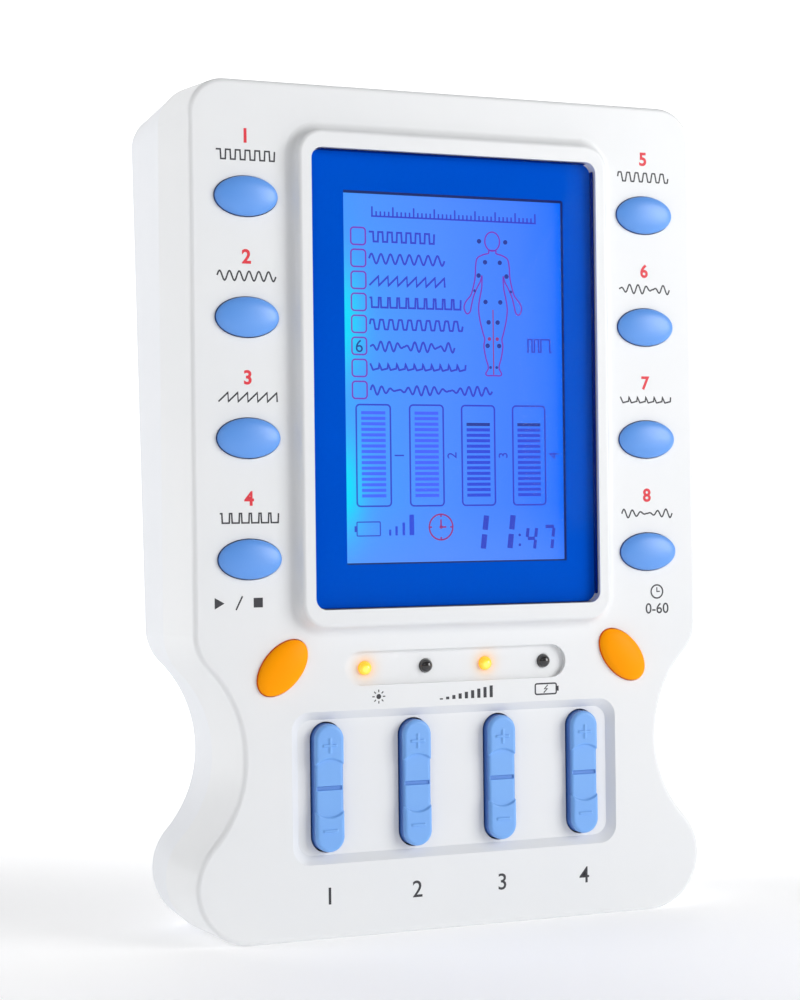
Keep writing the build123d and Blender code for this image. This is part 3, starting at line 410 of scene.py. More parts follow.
def litLamp(slot, look):
    # a lamp's dome: a bright core a little off its middle, deepening to its rim; the lamps stand one pitch apart
    start, place = newFinish(slot)
    x, y, z = place.axes()
    across = (start.math("FRACT", x / look["pitch"] + 10.0) - 0.5) * look["pitch"] + look["offset"]
    up = z - look["height"] + look["offset"]
    out = (across * across + up * up) / (look["core"] ** 2)
    colour = start.math("EXPONENT", 0.0 - out).mix(look["rim"], look["middle"])
    speck = place.noise(3000.0, 1.0)
    shade(start, look["rim"], 0.1 + 0.06 * speck, speck.bump(0.000005, 0.3), Emission_Color=colour,
          Emission_Strength=look["power"], Coat_Weight=0.8, Coat_Roughness=0.05)


lamps = {
    "lamp_amber": {"middle": tint(255, 250, 120), "rim": tint(255, 158, 0), "core": 0.75 * mm, "power": 1.05},
    # painted glint: the unlit lamps glow faintly, a little lighter just off their middle
    "lamp_clear": {"middle": tint(60, 54, 54), "rim": tint(26, 24, 25), "core": 0.6 * mm, "power": 0.1},
    "backlight": {"middle": tint(120, 250, 255), "rim": tint(0, 220, 255), "core": 3.0 * mm, "power": 3.0},
}
for slot, look in lamps.items():
    litLamp(slot, {"pitch": 14.26 * mm, "offset": 0.22 * mm, "height": litPlaces[0][1], **look})


def bandedFinish(slot, look):
    # stripes across one axis, for tape turns, contact strips and sleeves
    start, place = newFinish(slot)
    along = place.axes()[look["axis"]]
    wave = start.math("SINE", along * (2 * math.pi / look["pitch"])) * 0.5 + 0.5
    cloud = place.noise(300.0, 3.0)
    colour = ((wave - look["cut"]) * look["crisp"]).limit().between(look["tints"])
    shade(start, colour, look["rough"] + 0.1 * (cloud - 0.5), (wave + 0.3 * cloud).bump(look["depth"], 0.6),
          Metallic=0.0)


banded = {
    "zebra_rubber": {"axis": 0, "pitch": 0.4 * mm, "cut": 0.4, "crisp": 5.0,
        "tints": ((224, 206, 210), (50, 48, 52)), "rough": 0.7, "depth": 0.00002},
    "coil_tape": {"axis": 2, "pitch": 1.6 * mm, "cut": 0.8, "crisp": 8.0, "tints": ((226, 186, 70), (176, 128, 30)),
        "rough": 0.38, "depth": 0.00006},
    "can_sleeve": {"axis": 1, "pitch": 9.0 * mm, "cut": 0.7, "crisp": 12.0, "tints": ((42, 54, 88), (58, 72, 110)),
        "rough": 0.32, "depth": 0.00002},
    "cell_wrap": {"axis": 2, "pitch": 34.0 * mm, "cut": 0.85, "crisp": 30.0,
        "tints": ((36, 92, 160), (214, 219, 226)), "rough": 0.3, "depth": 0.00001},
}
for slot, look in banded.items():
    bandedFinish(slot, look)


def boardFinish(look):
    # green lacquer over copper tracks
    start, place = newFinish("board_green")
    x, y, z = place.axes()
    lanes = start.math("SINE", x * look["lanes"]) * start.math("SINE", z * look["lanes"] * look["rowShare"])
    tracks = ((place.noise(look["patches"], 1.0) + look["laneShare"] * lanes - 0.5) * look["crisp"]).limit()
    colour = tracks.between(look["tints"])
    shade(start, colour, 0.34 + 0.12 * place.noise(500.0), tracks.bump(0.00003, 0.6))


boardFinish({"lanes": 1800.0, "rowShare": 0.83, "laneShare": 0.35, "patches": 170.0, "crisp": 30.0,
             "tints": ((22, 92, 50), (36, 118, 64))})

slotOf = {part["node"]: part["material_slot"] for part in frame["record"]["subparts"]}
for node, piece in frame["nodes"].items():
    for holder in piece.material_slots:
        holder.material = finishes[slotOf[node]]
print("finishes:", len(finishes))


def loft(loops, closed=False):
    # neighbouring loops of points are joined by quads; an open loft gets a fan to the middle of each end loop
    rows, sides = loops.shape[:2]
    row = np.arange(rows if closed else rows - 1)[:, None]
    side = np.arange(sides)[None, :]
    after = (side + 1) % sides
    below = (row + 1) % rows
    quads = np.stack([row * sides + side, row * sides + after, below * sides + after, below * sides + side], -1)
    faces = [quads.reshape(-1, 4)]
    points = loops.reshape(-1, 3)
    if not closed:
        ring = np.arange(sides)
        last = (rows - 1) * sides
        points = np.vstack([points, loops[0].mean(0), loops[-1].mean(0)])
        faces.append(np.stack([np.roll(ring, -1), ring, np.full(sides, rows * sides)], -1))
        faces.append(np.stack([last + ring, last + np.roll(ring, -1), np.full(sides, rows * sides + 1)], -1))
    triangles = np.vstack([faces[0][:, [0, 1, 2]], faces[0][:, [0, 2, 3]]] + faces[1:])
    corners = points[triangles] - points.mean(0)
    volume = np.einsum("ij,ij->i", corners[:, 0], np.cross(corners[:, 1], corners[:, 2])).sum()
    if volume < 0:  # turned outwards
        faces = [group[:, ::-1] for group in faces]
    return points, faces


def makePiece(name, lofts, slot, body="case", replaced=None, sharp=35.0):
    # several lofts become one mesh that rides on a body
    points, faces, count = [], [], 0
    for some, groups in lofts:
        for group in groups:
            faces += (group + count).tolist()
        points.append(some)
        count += len(some)
    mesh = bpy.data.meshes.new(name)
    mesh.from_pydata(np.vstack(points).tolist(), [], faces)
    return finishPiece(name, mesh, slot, body, replaced, sharp)


def finishPiece(name, mesh, slot, body="case", replaced=None, sharp=35.0):
    # smooth shading but for edges sharper than an angle; the piece is hung on the empty of the body it rides on, and
    # the part it replaces is hidden
    mesh.materials.clear()
    mesh.materials.append(finishes[slot])
    mesh.shade_smooth()
    mesh.set_sharp_from_angle(angle=math.radians(sharp))
    piece = bpy.data.objects.new(name, mesh)
    bpy.context.scene.collection.objects.link(piece)
    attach(piece, body)
    if replaced:
        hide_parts(replaced)
    return piece


def turned(rows, centre, sides=64, tilt=0.0):
    # ovals of half length a and half height b at depth y, one after another along Y, turned by tilt about Y
    angle = np.linspace(0, 2 * np.pi, sides, endpoint=False)
    rows = np.asarray(rows, float)
    along = rows[:, 0, None] * np.cos(angle)
    over = rows[:, 1, None] * np.sin(angle)
    x = along * math.cos(tilt) - over * math.sin(tilt) + centre[0]
    z = along * math.sin(tilt) + over * math.cos(tilt) + centre[1]
    return np.stack([x, np.broadcast_to(rows[:, 2, None], x.shape), z], -1)


# oval push keys
ovalKey = {"proud": 1.9 * mm, "wallProud": 0.3 * mm, "edge": 0.4 * mm, "edgeRows": 5, "fullness": 2.05,
           "bowShare": 0.97, "domeShare": 0.985, "domeRows": 26, "flangeWidth": 1.2 * mm, "flangeFront": 2.6 * mm,
           "flangeBack": 3.6 * mm, "stem": 2.2 * mm, "stemEnd": 5.55 * mm, "sides": 96}
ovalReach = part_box("program_key_1")[1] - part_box("program_key_1")[0]


def ovalRows(look):
    # from the crown down: a dome that falls by a power of the distance out, a rounded edge, a wall, a flange, a stem
    wide, stem, dome = look["flangeWidth"], look["stem"], look["domeShare"]
    a, b = (ovalReach.x / 2 - wide), (ovalReach.z / 2 - wide)
    rise = look["proud"] - look["wallProud"]
    share = np.sin(np.linspace(0.02, 1, look["domeRows"]) * np.pi / 2)
    fall = rise * (1 - np.sqrt(1 - (look["bowShare"] * share) ** look["fullness"]))
    top = faceY - look["proud"]
    rows = [(a * s, b * s, top + f) for s, f in zip(share * dome, fall)]
    rim = top + fall[-1]
    for bend in np.linspace(0.25, 1, look["edgeRows"]) * np.pi / 2:
        out = dome + (1 - dome) * math.sin(bend)
        rows.append((a * out, b * out, rim + look["edge"] * (1 - math.cos(bend))))
    front, back, end = faceY + look["flangeFront"], faceY + look["flangeBack"], faceY + look["stemEnd"]
    rows += [(a, b, front), (a + wide, b + wide, front), (a + wide, b + wide, back)]
    return rows + [(stem, stem, back), (stem, stem, end)]


ovalTilts = {"start_stop_key": 48.0, "timer_key": -48.0}
ovalNames = [f"program_key_{number}" for number in range(1, 9)] + list(ovalTilts)
for name in ovalNames:
    low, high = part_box(name)
    middle = (low + high) / 2
    tilt = math.radians(ovalTilts.get(name, 0.0))
    rings = turned(ovalRows(ovalKey), (middle.x, middle.z), ovalKey["sides"], tilt)
    makePiece(name + "_cap", [loft(rings)], slotOf[name], name, name)
print("push keys:", len(ovalNames))


# rocking channel keys
rocker = {"halfWidth": 3.3 * mm, "halfLength": 13.7 * mm, "round": 0.8 * mm, "dip": 0.5 * mm, "thick": 5.5 * mm,
          "footRadius": 2.4 * mm, "footOffset": 9.0 * mm, "footEnd": 7.8 * mm, "pinRadius": 1.0 * mm,
          "pinReach": 5.0 * mm, "pinDepth": 6.5 * mm, "hub": 2.5 * mm,
          "middle": 5.2 * mm, "bow": 1.3 * mm, "step": 0.45 * mm, "groove": 0.5 * mm, "grooveDepth": 0.45 * mm,
          "grooveInset": 0.35 * mm, "grooveSoft": 0.3 * mm, "signHeight": 0.25 * mm, "signAt": 9.1 * mm,
          "signSpan": 1.5 * mm, "signWidth": 0.2 * mm, "signSoft": 0.12 * mm, "sink": 0.1 * mm, "sides": 32,
          "rows": 190, "columns": 56, "capRows": 30}


def smoothStep(share):
    # from 0 to 1 with a level start and end
    share = np.clip(share, 0, 1)
    return share * share * (3 - 2 * share)


def rockerTop(x, z, look):
    # how far the top lies under its highest level: rounded where it is near the outline, a bowed step down to the
    # middle, a groove across it, and a raised plus above and minus below
    reach = look["halfLength"] - look["halfWidth"]
    inside = look["halfWidth"] - np.hypot(x, np.maximum(np.abs(z) - reach, 0))
    bend = np.clip(look["round"] - inside, 0, look["round"])
    depth = look["round"] - np.sqrt(np.maximum(look["round"] ** 2 - bend ** 2, 0))
    bow = look["middle"] + look["bow"] * (1 - (x / look["halfWidth"]) ** 2)
    depth = depth + look["dip"] * smoothStep((bow - np.abs(z)) / look["step"])
    across = smoothStep((look["groove"] - np.abs(z)) / (0.35 * look["groove"]))
    depth = depth + look["grooveDepth"] * across * smoothStep((inside - look["grooveInset"]) / look["grooveSoft"])

    def stroke(u, v):
        # 1 inside an oblong of the sign's span and width, softly down to 0 outside it
        over = np.maximum(np.abs(u) - look["signSpan"], np.abs(v) - look["signWidth"])
        return smoothStep((look["signSoft"] - over) / look["signSoft"])

    plus = np.maximum(stroke(x, z - look["signAt"]), stroke(z - look["signAt"], x))
    minus = stroke(x, z + look["signAt"])
    return depth - look["signHeight"] * np.maximum(plus, minus)


def rockerLoops(look, low, high):
    # loops across the key, one after another up its length: each goes over the top surface and back under the body
    middle = (low + high) / 2
    reach = look["halfLength"] - look["halfWidth"]
    bend = np.linspace(-89.0, 89.0, 2 * look["capRows"] + 1) * np.pi / 180
    cap = reach + look["halfWidth"] * np.sin(bend[look["capRows"] + 1:])
    straight = np.linspace(-reach, reach, look["rows"])
    z = np.concatenate([-cap[::-1], straight, cap])
    width = np.sqrt(look["halfWidth"] ** 2 - np.maximum(np.abs(z) - reach, 0) ** 2)
    x = width[:, None] * np.sin(np.linspace(-1, 1, look["columns"]) * np.pi / 2)[None, :]
    top = low.y + look["signHeight"] + rockerTop(x, z[:, None], look)
    bottom = np.full((len(z), 1), low.y + look["thick"])
    y = np.hstack([bottom, top, bottom])
    x = np.hstack([x[:, :1], x, x[:, -1:]])
    return np.stack([middle.x + x, y, middle.z + np.broadcast_to(z[:, None], x.shape)], -1)


def rockerUnderside(look, low, high):
    # two round feet, the hub between them and the pin the key rocks on
    middle, back = (low + high) / 2, low.y + look["thick"] - look["sink"]
    wide, foot, sides = look["halfWidth"], look["footRadius"], look["sides"]
    shapes = [loft(turned([(foot, foot, back), (foot, foot, low.y + look["footEnd"])],
                          (middle.x, middle.z + side * look["footOffset"]), sides)) for side in (-1, 1)]
    hubEnd = low.y + look["pinDepth"] + look["pinRadius"]
    shapes.append(loft(np.array([[(middle.x + x * wide, y, middle.z + z * look["hub"])
                                  for x, z in ((-1, -1), (1, -1), (1, 1), (-1, 1))]
                                 for y in (back, hubEnd)])))
    angle = np.linspace(0, 2 * np.pi, sides, endpoint=False)
    shapes.append(loft(np.stack([np.stack([np.full(sides, middle.x + side * look["pinReach"]),
                                           low.y + look["pinDepth"] + look["pinRadius"] * np.cos(angle),
                                           middle.z + look["pinRadius"] * np.sin(angle)], 1) for side in (-1, 1)])))
    return shapes


for number in range(1, 5):
    name = f"channel_key_{number}"
    low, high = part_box(name)
    shapes = [loft(rockerLoops(rocker, low, high))] + rockerUnderside(rocker, low, high)
    makePiece(name + "_cap", shapes, "rocker_blue", name, name, 50.0)
print("channel keys: 4")


# status lamps
lampShape = {"radius": 1.5 * mm, "flangeBack": 1.0 * mm, "rows": 14, "sides": 40}


def lampRows(look, low, high):
    # a round nose, a straight body and a thin flange
    radius, wide, back = look["radius"], (high.x - low.x) / 2, high.y - look["flangeBack"]
    bend = np.linspace(0.03, 1, look["rows"]) * np.pi / 2
    rows = [(radius * math.sin(b), radius * math.sin(b), low.y + radius * (1 - math.cos(b))) for b in bend]
    return rows + [(radius, radius, back), (wide, wide, back), (wide, wide, high.y)]


for number in range(1, 5):
    name = f"status_led_{number}"
    low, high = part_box(name)
    middle = (low + high) / 2
    rings = turned(lampRows(lampShape, low, high), (middle.x, middle.z), lampShape["sides"])
    makePiece(name + "_dome", [loft(rings)], slotOf[name], replaced=name)
print("lamps: 4")


def softBox(x, z, width, height, radius, count=6):
    # the path round a box, with a quarter circle at each corner
    corners = [(1, 1, 0), (-1, 1, 90), (-1, -1, 180), (1, -1, 270)]
    acrossTo, upTo = width / 2 - radius, height / 2 - radius
    return np.vstack([arc(x + sx * acrossTo, z + sz * upTo, radius, begin, begin + 90, count)
                      for sx, sz, begin in corners])


def arc(x, z, radius, start=0.0, end=360.0, count=32):
    # points at equal angles on a circle or a part of it
    angle = np.radians(np.linspace(start, end, count, endpoint=end - start < 360))
    return np.stack([x + radius * np.cos(angle), z + radius * np.sin(angle)], 1)


def windowLoops(look, low, high):
    # boxes with rounded corners one behind another; the front edge is rounded by a quarter circle
    bend = np.linspace(0, np.pi / 2, look["bevelSteps"])
    inset = np.concatenate([look["bevel"] * (1 - np.sin(bend)), [0.0]])
    depth = np.concatenate([low.y + look["bevel"] * (1 - np.cos(bend)), [high.y - look["lift"]]])
    middle, size = (low + high) / 2, high - low
    loops = []
    for shrink, y in zip(inset, depth):
        path = softBox(middle.x, middle.z, size.x - 2 * shrink, size.z - 2 * shrink, look["radius"] - shrink,
                       look["cornerSteps"])
        loops.append(np.stack([path[:, 0], np.full(len(path), y), path[:, 1]], 1))
    return np.stack(loops)


makePiece("display_window", [loft(windowLoops(window, *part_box("display_lens")))], "lens_clear",
          replaced="display_lens")


def ribbon(path, width, front, thick, closed=False):
    # a flat line: an oblong section is carried along the path, widened at each corner by the mitre
    path = np.asarray(path, float)
    ahead = np.roll(path, -1, 0) - path
    behind = path - np.roll(path, 1, 0)
    if not closed:
        ahead[-1], behind[0] = behind[-1], ahead[0]
    ahead = ahead / np.linalg.norm(ahead, axis=1)[:, None]
    behind = behind / np.linalg.norm(behind, axis=1)[:, None]
    heading = ahead + behind
    heading = heading / np.maximum(np.linalg.norm(heading, axis=1), 1e-9)[:, None]
    mitre = 1 / np.sqrt(np.maximum((1 + (ahead * behind).sum(1)) / 2, 0.35))
    offset = np.stack([-heading[:, 1], heading[:, 0]], 1) * (width / 2 * mitre)[:, None]
    left, right = path + offset, path - offset
    depth = np.full(len(path), front)
    loops = [np.stack([edge[:, 0], depth + deep, edge[:, 1]], 1)
             for edge, deep in ((left, 0), (right, 0), (right, thick), (left, thick))]
    return loft(np.stack(loops, 1), closed)


def outline(points, front, thick):
    # a filled flat shape, front loop and back loop
    points = np.asarray(points, float)
    loops = [np.stack([points[:, 0], np.full(len(points), deep), points[:, 1]], 1) for deep in (front, front + thick)]
    return loft(np.stack(loops))


def bar(x, z, width, height):
    # the corners of an oblong round its middle
    return [(x - width / 2, z - height / 2), (x + width / 2, z - height / 2), (x + width / 2, z + height / 2),
            (x - width / 2, z + height / 2)]


waves = {  # heights from -1 to 1 over a time in cycles
    "square": lambda t: np.where(t % 1 < 0.5, 1.0, -1.0),
    "sine": lambda t: np.sin(2 * np.pi * t),
    "ramp": lambda t: 2 * (t % 1) - 1,
    "narrow": lambda t: np.where(t % 1 < 0.25, 1.0, -1.0),
    "trapezoid": lambda t: np.clip(1.9 * np.sin(2 * np.pi * t), -1, 1),
    "burst": lambda t: np.sin(2 * np.pi * t) * np.clip(1.3 * np.abs(np.sin(2 * np.pi * t / 8)), 0, 1),
    "spike": lambda t: np.where(t % 1 < 0.3, 1 - 4.5 * (t % 1), -0.35 + 0.5 * (t % 1 - 0.3)),
    "beat": lambda t: np.sin(2 * np.pi * t) * np.abs(np.cos(2 * np.pi * t / 12)),
}


def spokes(x, z, inner, outer, count):
    # short lines at equal angles, pointing away from a middle
    return [[(x + out * math.cos(a), z + out * math.sin(a)) for out in (inner, outer)]
            for a in np.radians(np.arange(count) * 360 / count)]


def wavePath(name, x, z, width, height, cycles):
    # a wave drawn to the right from x, centred on z, with 24 points to a cycle
    t = np.linspace(0, cycles, int(cycles * 24) + 1)
    level = waves[name](t) * height / 2
    return np.stack([x + width * t / cycles, z + level], 1)


def lettering(name, words, x, z, height, slot, level, bold=0.0, turned=0.0):
    # plain numbers from the built-in font, made a mesh and then stood up on the face
    curve = bpy.data.curves.new(name, "FONT")
    curve.body = words
    curve.align_x, curve.align_y = "CENTER", "CENTER"
    curve.offset = bold
    curve.extrude = 0.5
    curve.resolution_u = 6
    flat = bpy.data.objects.new(name, curve)
    bpy.context.scene.collection.objects.link(flat)
    bpy.context.view_layer.update()
    mesh = bpy.data.meshes.new_from_object(flat)
    bpy.data.objects.remove(flat)
    points = np.zeros(len(mesh.vertices) * 3, np.float32)
    mesh.vertices.foreach_get("co", points)
    points = points.reshape(-1, 3)
    low, high = points.min(0), points.max(0)
    points = (points - (low + high) / 2) * (height / (high[1] - low[1]))
    points[:, 2] *= level["thick"] / max(np.ptp(points[:, 2]), 1e-9)
    tilt = math.radians(turned)
    across = points[:, 0] * math.cos(tilt) - points[:, 1] * math.sin(tilt)
    over = points[:, 0] * math.sin(tilt) + points[:, 1] * math.cos(tilt)
    placed = np.stack([x + across, level["front"] + level["thick"] / 2 - points[:, 2], z + over], 1)
    mesh.vertices.foreach_set("co", placed.astype(np.float32).ravel())
    return finishPiece(name, mesh, slot)


def flatMarks(level, shapes, filled=False, width=None, closed=False):
    # filled shapes or lines on one level
    if filled:
        return [outline(shape, level["front"], level["thick"]) for shape in shapes]
    return [ribbon(shape, width or level["line"], level["front"], level["thick"], closed) for shape in shapes]


ink = {"front": faceY - 0.02 * mm, "thick": 0.04 * mm, "line": 0.34 * mm, "fine": 0.26 * mm}
inked = partial(flatMarks, ink)
keyPrint = {"numberAt": 12.85 * mm, "numberHeight": 3.1 * mm, "waveAt": 8.7 * mm, "waveHeight": 2.0 * mm,
            "width": 13.0 * mm, "cycles": 6, "bold": 0.03}
for number, waveName in enumerate(waves, 1):
    low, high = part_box(f"program_key_{number}")
    middle = (low + high) / 2
    lettering(f"key_number_{number}", str(number), middle.x, middle.z + keyPrint["numberAt"],
              keyPrint["numberHeight"], "print_red", ink, keyPrint["bold"])
    wave = wavePath(waveName, middle.x - keyPrint["width"] / 2, middle.z + keyPrint["waveAt"],
                    keyPrint["width"], keyPrint["waveHeight"], keyPrint["cycles"])
    makePiece(f"key_wave_{number}", inked([wave]), "print_black")

startMark = {"x": -49.9 * mm, "z": 72.4 * mm, "size": 2.4 * mm, "arrowBack": 2.3, "arrowTip": 1.4, "block": 0.85,
             "blockAt": 1.7, "slash": (-0.35, 0.25, 0.6)}
timerMark = {"x": 49.9 * mm, "clockZ": 72.4 * mm, "radius": 1.5 * mm, "rangeZ": 68.6 * mm, "height": 2.4 * mm,
             "bold": 0.008, "longHand": 0.65, "shortHand": 0.5}
signs = {"z": 51.4 * mm, "lampX": -18.7 * mm, "levelX": 2.0 * mm, "batteryX": 21.4 * mm, "height": 2.6 * mm,
              "disc": 0.55 * mm, "rayFrom": 0.95 * mm, "rayTo": 1.5 * mm, "rayLine": 0.24 * mm, "levels": 9,
              "levelPitch": 1.5 * mm, "levelWidth": 0.75 * mm, "cellWidth": 5.2 * mm, "cellShare": 0.9,
              "cellRound": 0.4 * mm, "tipAt": 2.95 * mm, "tip": (0.5 * mm, 1.1 * mm),
              "bolt": (0.5 * mm, 0.35 * mm, 0.85 * mm)}
channelNumbers = {"z": 9.3 * mm, "height": 3.6 * mm, "bold": 0.006}

x, z, size, back = (startMark[key] for key in ("x", "z", "size", "arrowBack"))
block = size * startMark["block"]
fromX, toX, rise = startMark["slash"]
startShapes = inked([[(x - back * size, z - size / 2), (x - startMark["arrowTip"] * size, z),
                      (x - back * size, z + size / 2)],
                     bar(x + startMark["blockAt"] * size, z, block, block)], True)
startShapes += inked([[(x + fromX * size, z - rise * size), (x + toX * size, z + rise * size)]])
makePiece("start_stop_symbol", startShapes, "print_black")

x, z, radius = timerMark["x"], timerMark["clockZ"], timerMark["radius"]
clockShapes = inked([arc(x, z, radius)], closed=True)
hands = [(x, z + timerMark["longHand"] * radius), (x, z), (x + timerMark["shortHand"] * radius, z)]
clockShapes += inked([hands], width=ink["fine"])
makePiece("timer_symbol", clockShapes, "print_black")
lettering("timer_range", "0-60", x, timerMark["rangeZ"], timerMark["height"], "print_black", ink, timerMark["bold"])

x, z, height = signs["lampX"], signs["z"], signs["height"]
rays = spokes(x, z, signs["rayFrom"], signs["rayTo"], 8)
disc = arc(x, z, signs["disc"], count=20)
makePiece("lamp_symbol", inked([disc], True) + inked(rays, width=signs["rayLine"]), "print_black")
x, count = signs["levelX"], signs["levels"]
levels = [bar(x + (step - count // 2) * signs["levelPitch"], z - height / 2 + height * (step + 1) / (2 * count),
              signs["levelWidth"], height * (step + 1) / count)
          for step in range(count)]
makePiece("level_symbol", inked(levels, True), "print_black")
x = signs["batteryX"]
battery = inked([softBox(x, z, signs["cellWidth"], height * signs["cellShare"], signs["cellRound"])],
                closed=True)
battery += inked([bar(x + signs["tipAt"], z, *signs["tip"])], True)
far, near, tall = signs["bolt"]
battery += inked([[(x + far, z + tall), (x - near, z), (x + near, z), (x - far, z - tall)]], width=ink["fine"])
makePiece("charge_symbol", battery, "print_black")
for number in range(1, 5):
    low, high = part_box(f"channel_key_{number}")
    lettering(f"channel_number_{number}", str(number), (low.x + high.x) / 2, channelNumbers["z"],
              channelNumbers["height"], "print_black", ink, channelNumbers["bold"])
print("face print done")

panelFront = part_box("lcd_glass")[0].y
screen = {"front": panelFront - 0.03 * mm, "thick": 0.04 * mm, "line": 0.36 * mm}
lit = partial(flatMarks, screen)
rows = {"boxX": -21.9 * mm, "topZ": 150.95 * mm, "pitch": 4.757 * mm, "boxWidth": 3.4 * mm, "boxHeight": 3.7 * mm,
        "boxRound": 0.7 * mm, "waveX": -19.4 * mm, "waveHeight": 2.1 * mm, "wavePitch": 2.1, "waveLine": 0.42 * mm,
        "waveWidths": (15.4, 17.8, 17.8, 21.6, 22.0, 20.0, 22.6, 29.0), "chosen": 6, "numberHeight": 2.7 * mm}
rowLevels = [rows["topZ"] - step * rows["pitch"] for step in range(len(waves))]
boxes = [softBox(rows["boxX"], z, rows["boxWidth"], rows["boxHeight"], rows["boxRound"]) for z in rowLevels]
makePiece("screen_check_boxes", lit(boxes, closed=True), "mark_violet")
rowWaves = [wavePath(name, rows["waveX"], z, width * mm, rows["waveHeight"], round(width / rows["wavePitch"]))
            for z, name, width in zip(rowLevels, waves, rows["waveWidths"])]
makePiece("screen_row_waves", lit(rowWaves, width=rows["waveLine"]), "mark_indigo")
lettering("screen_chosen_number", str(rows["chosen"]), rows["boxX"], rowLevels[rows["chosen"] - 1],
          rows["numberHeight"], "mark_dark", screen)

scale = {"left": -18.6 * mm, "right": 20.6 * mm, "low": 155.4 * mm, "short": 1.1 * mm, "long": 2.1 * mm, "ticks": 41,
         "group": 5, "overhang": 0.2 * mm}
ticks = [[(at, scale["low"]), (at, scale["low"] + scale["short" if step % scale["group"] else "long"])]
         for step, at in enumerate(np.linspace(scale["left"], scale["right"], scale["ticks"]))]
ticks.append([(scale["left"] - scale["overhang"], scale["low"]), (scale["right"] + scale["overhang"], scale["low"])])
makePiece("screen_scale", lit(ticks), "mark_indigo")

# a plain standing outline: half of it as points out from the middle line and up, rounded by a closed smooth curve
figure = {"x": 10.0 * mm, "headZ": 150.95 * mm, "headWidth": 1.8 * mm, "headHeight": 2.1 * mm, "line": 0.33 * mm,
          "legs": (135.8 * mm, 121.4 * mm), "legLine": 0.24 * mm,
          "half": ((0.8, 148.9), (0.95, 148.3), (2.4, 147.9), (3.7, 147.1), (4.1, 145.4), (4.2, 143.3), (4.6, 141.2),
                   (5.3, 139.0), (6.6, 137.4), (7.0, 136.0), (6.4, 134.8), (5.6, 135.2), (5.2, 136.7), (4.7, 138.6),
                   (3.8, 140.6), (3.0, 142.0), (2.6, 143.2), (2.7, 140.6), (3.2, 138.2), (3.5, 135.9), (3.2, 133.4),
                   (2.5, 130.6), (2.1, 129.2), (2.3, 127.6), (1.9, 125.2), (1.3, 123.0), (1.9, 121.7), (1.6, 121.2),
                   (0.3, 121.2)),
          "dots": ((3.2, 150.9), (1.8, 146.3), (3.4, 143.3), (1.8, 137.5), (1.1, 133.0), (1.4, 127.8)),
          "smallDots": ((4.4, 139.9), (0.75, 123.0)), "redDots": ((0.95, 129.3),),
          "dotRadius": 0.52 * mm, "smallRadius": 0.32 * mm, "redRadius": 0.42 * mm}


def smoothLoop(points, between=5):
    # a closed curve through the points: each stretch is a cubic whose slopes come from the points on either side
    before, after, far = np.roll(points, 1, 0), np.roll(points, -1, 0), np.roll(points, -2, 0)
    t = (np.arange(between) / between)[None, :, None]
    p0, p1, p2, p3 = (part[:, None, :] for part in (before, points, after, far))
    square, cube = 2 * p0 - 5 * p1 + 4 * p2 - p3, 3 * p1 - p0 - 3 * p2 + p3
    curve = 0.5 * (2 * p1 + (p2 - p0) * t + square * t ** 2 + cube * t ** 3)
    return curve.reshape(-1, 2)


def figureDots(group, radius):
    # the same dots on both sides of the figure
    return [arc(figure["x"] + side * x * mm, z * mm, radius, count=16) for x, z in group for side in (-1, 1)]


half = np.array(figure["half"]) * mm
body = np.vstack([half * (1, 1), (half * (-1, 1))[::-1]]) + (figure["x"], 0)
headAngle = np.linspace(0, 2 * np.pi, 36, endpoint=False)
head = np.stack([figure["x"] + figure["headWidth"] * np.cos(headAngle),
                 figure["headZ"] + figure["headHeight"] * np.sin(headAngle)], 1)
makePiece("screen_figure", lit([smoothLoop(body), head], closed=True, width=figure["line"]), "mark_violet")
spots = figureDots(figure["dots"], figure["dotRadius"]) + figureDots(figure["smallDots"], figure["smallRadius"])
makePiece("screen_pad_dots", lit(spots, True), "mark_dark")
redSpots = figureDots(figure["redDots"], figure["redRadius"])
legs = lit([[(figure["x"], z) for z in figure["legs"]]], width=figure["legLine"])
makePiece("screen_red_dots", lit(redSpots, True) + legs, "mark_red")

pulse = {"x": 18.2 * mm, "z": 126.6 * mm, "height": 2.8 * mm, "line": 0.34 * mm, "end": 6.2,
         "pulses": ((0.3, 1.3), (1.9, 2.9), (3.5, 5.7))}
low, high = pulse["z"], pulse["z"] + pulse["height"]
pulsePath = [(0, low)]
for rises, falls in pulse["pulses"]:
    pulsePath += [(rises, low), (rises, high), (falls, high), (falls, low)]
pulsePath = [(pulse["x"] + x * mm, z) for x, z in pulsePath + [(pulse["end"], low)]]
makePiece("screen_pulse", lit([pulsePath], width=pulse["line"]), "mark_indigo")

gauges = {"lefts": (-22.8, -10.3, 2.1, 14.5), "width": 7.95 * mm, "low": 92.5 * mm, "high": 114.5 * mm,
          "barLow": 94.75 * mm, "pitch": 1.2 * mm, "barHeight": 0.7 * mm, "inset": 1.15 * mm,
          "counts": (16, 16, 14, 14), "numberGap": 2.0 * mm, "numberHeight": 2.2 * mm, "round": 0.8 * mm}
frames, paleBars, deepBars, topBars = [], [], [], []
for channel, left in enumerate(gauges["lefts"]):
    middleX = left * mm + gauges["width"] / 2
    middleZ = (gauges["low"] + gauges["high"]) / 2
    path = softBox(middleX, middleZ, gauges["width"], gauges["high"] - gauges["low"], gauges["round"])
    frames += lit([path], closed=True)
    count = gauges["counts"][channel]
    for step in range(count):
        shape = bar(middleX, gauges["barLow"] + step * gauges["pitch"], gauges["width"] - 2 * gauges["inset"],
                    gauges["barHeight"])
        kind = topBars if channel > 1 and step == count - 1 else deepBars if channel > 1 else paleBars
        kind += lit([shape], True)
    lettering(f"screen_channel_number_{channel + 1}", str(channel + 1),
              left * mm + gauges["width"] + gauges["numberGap"], middleZ, gauges["numberHeight"], "mark_indigo",
              screen, 0.0, 90.0)
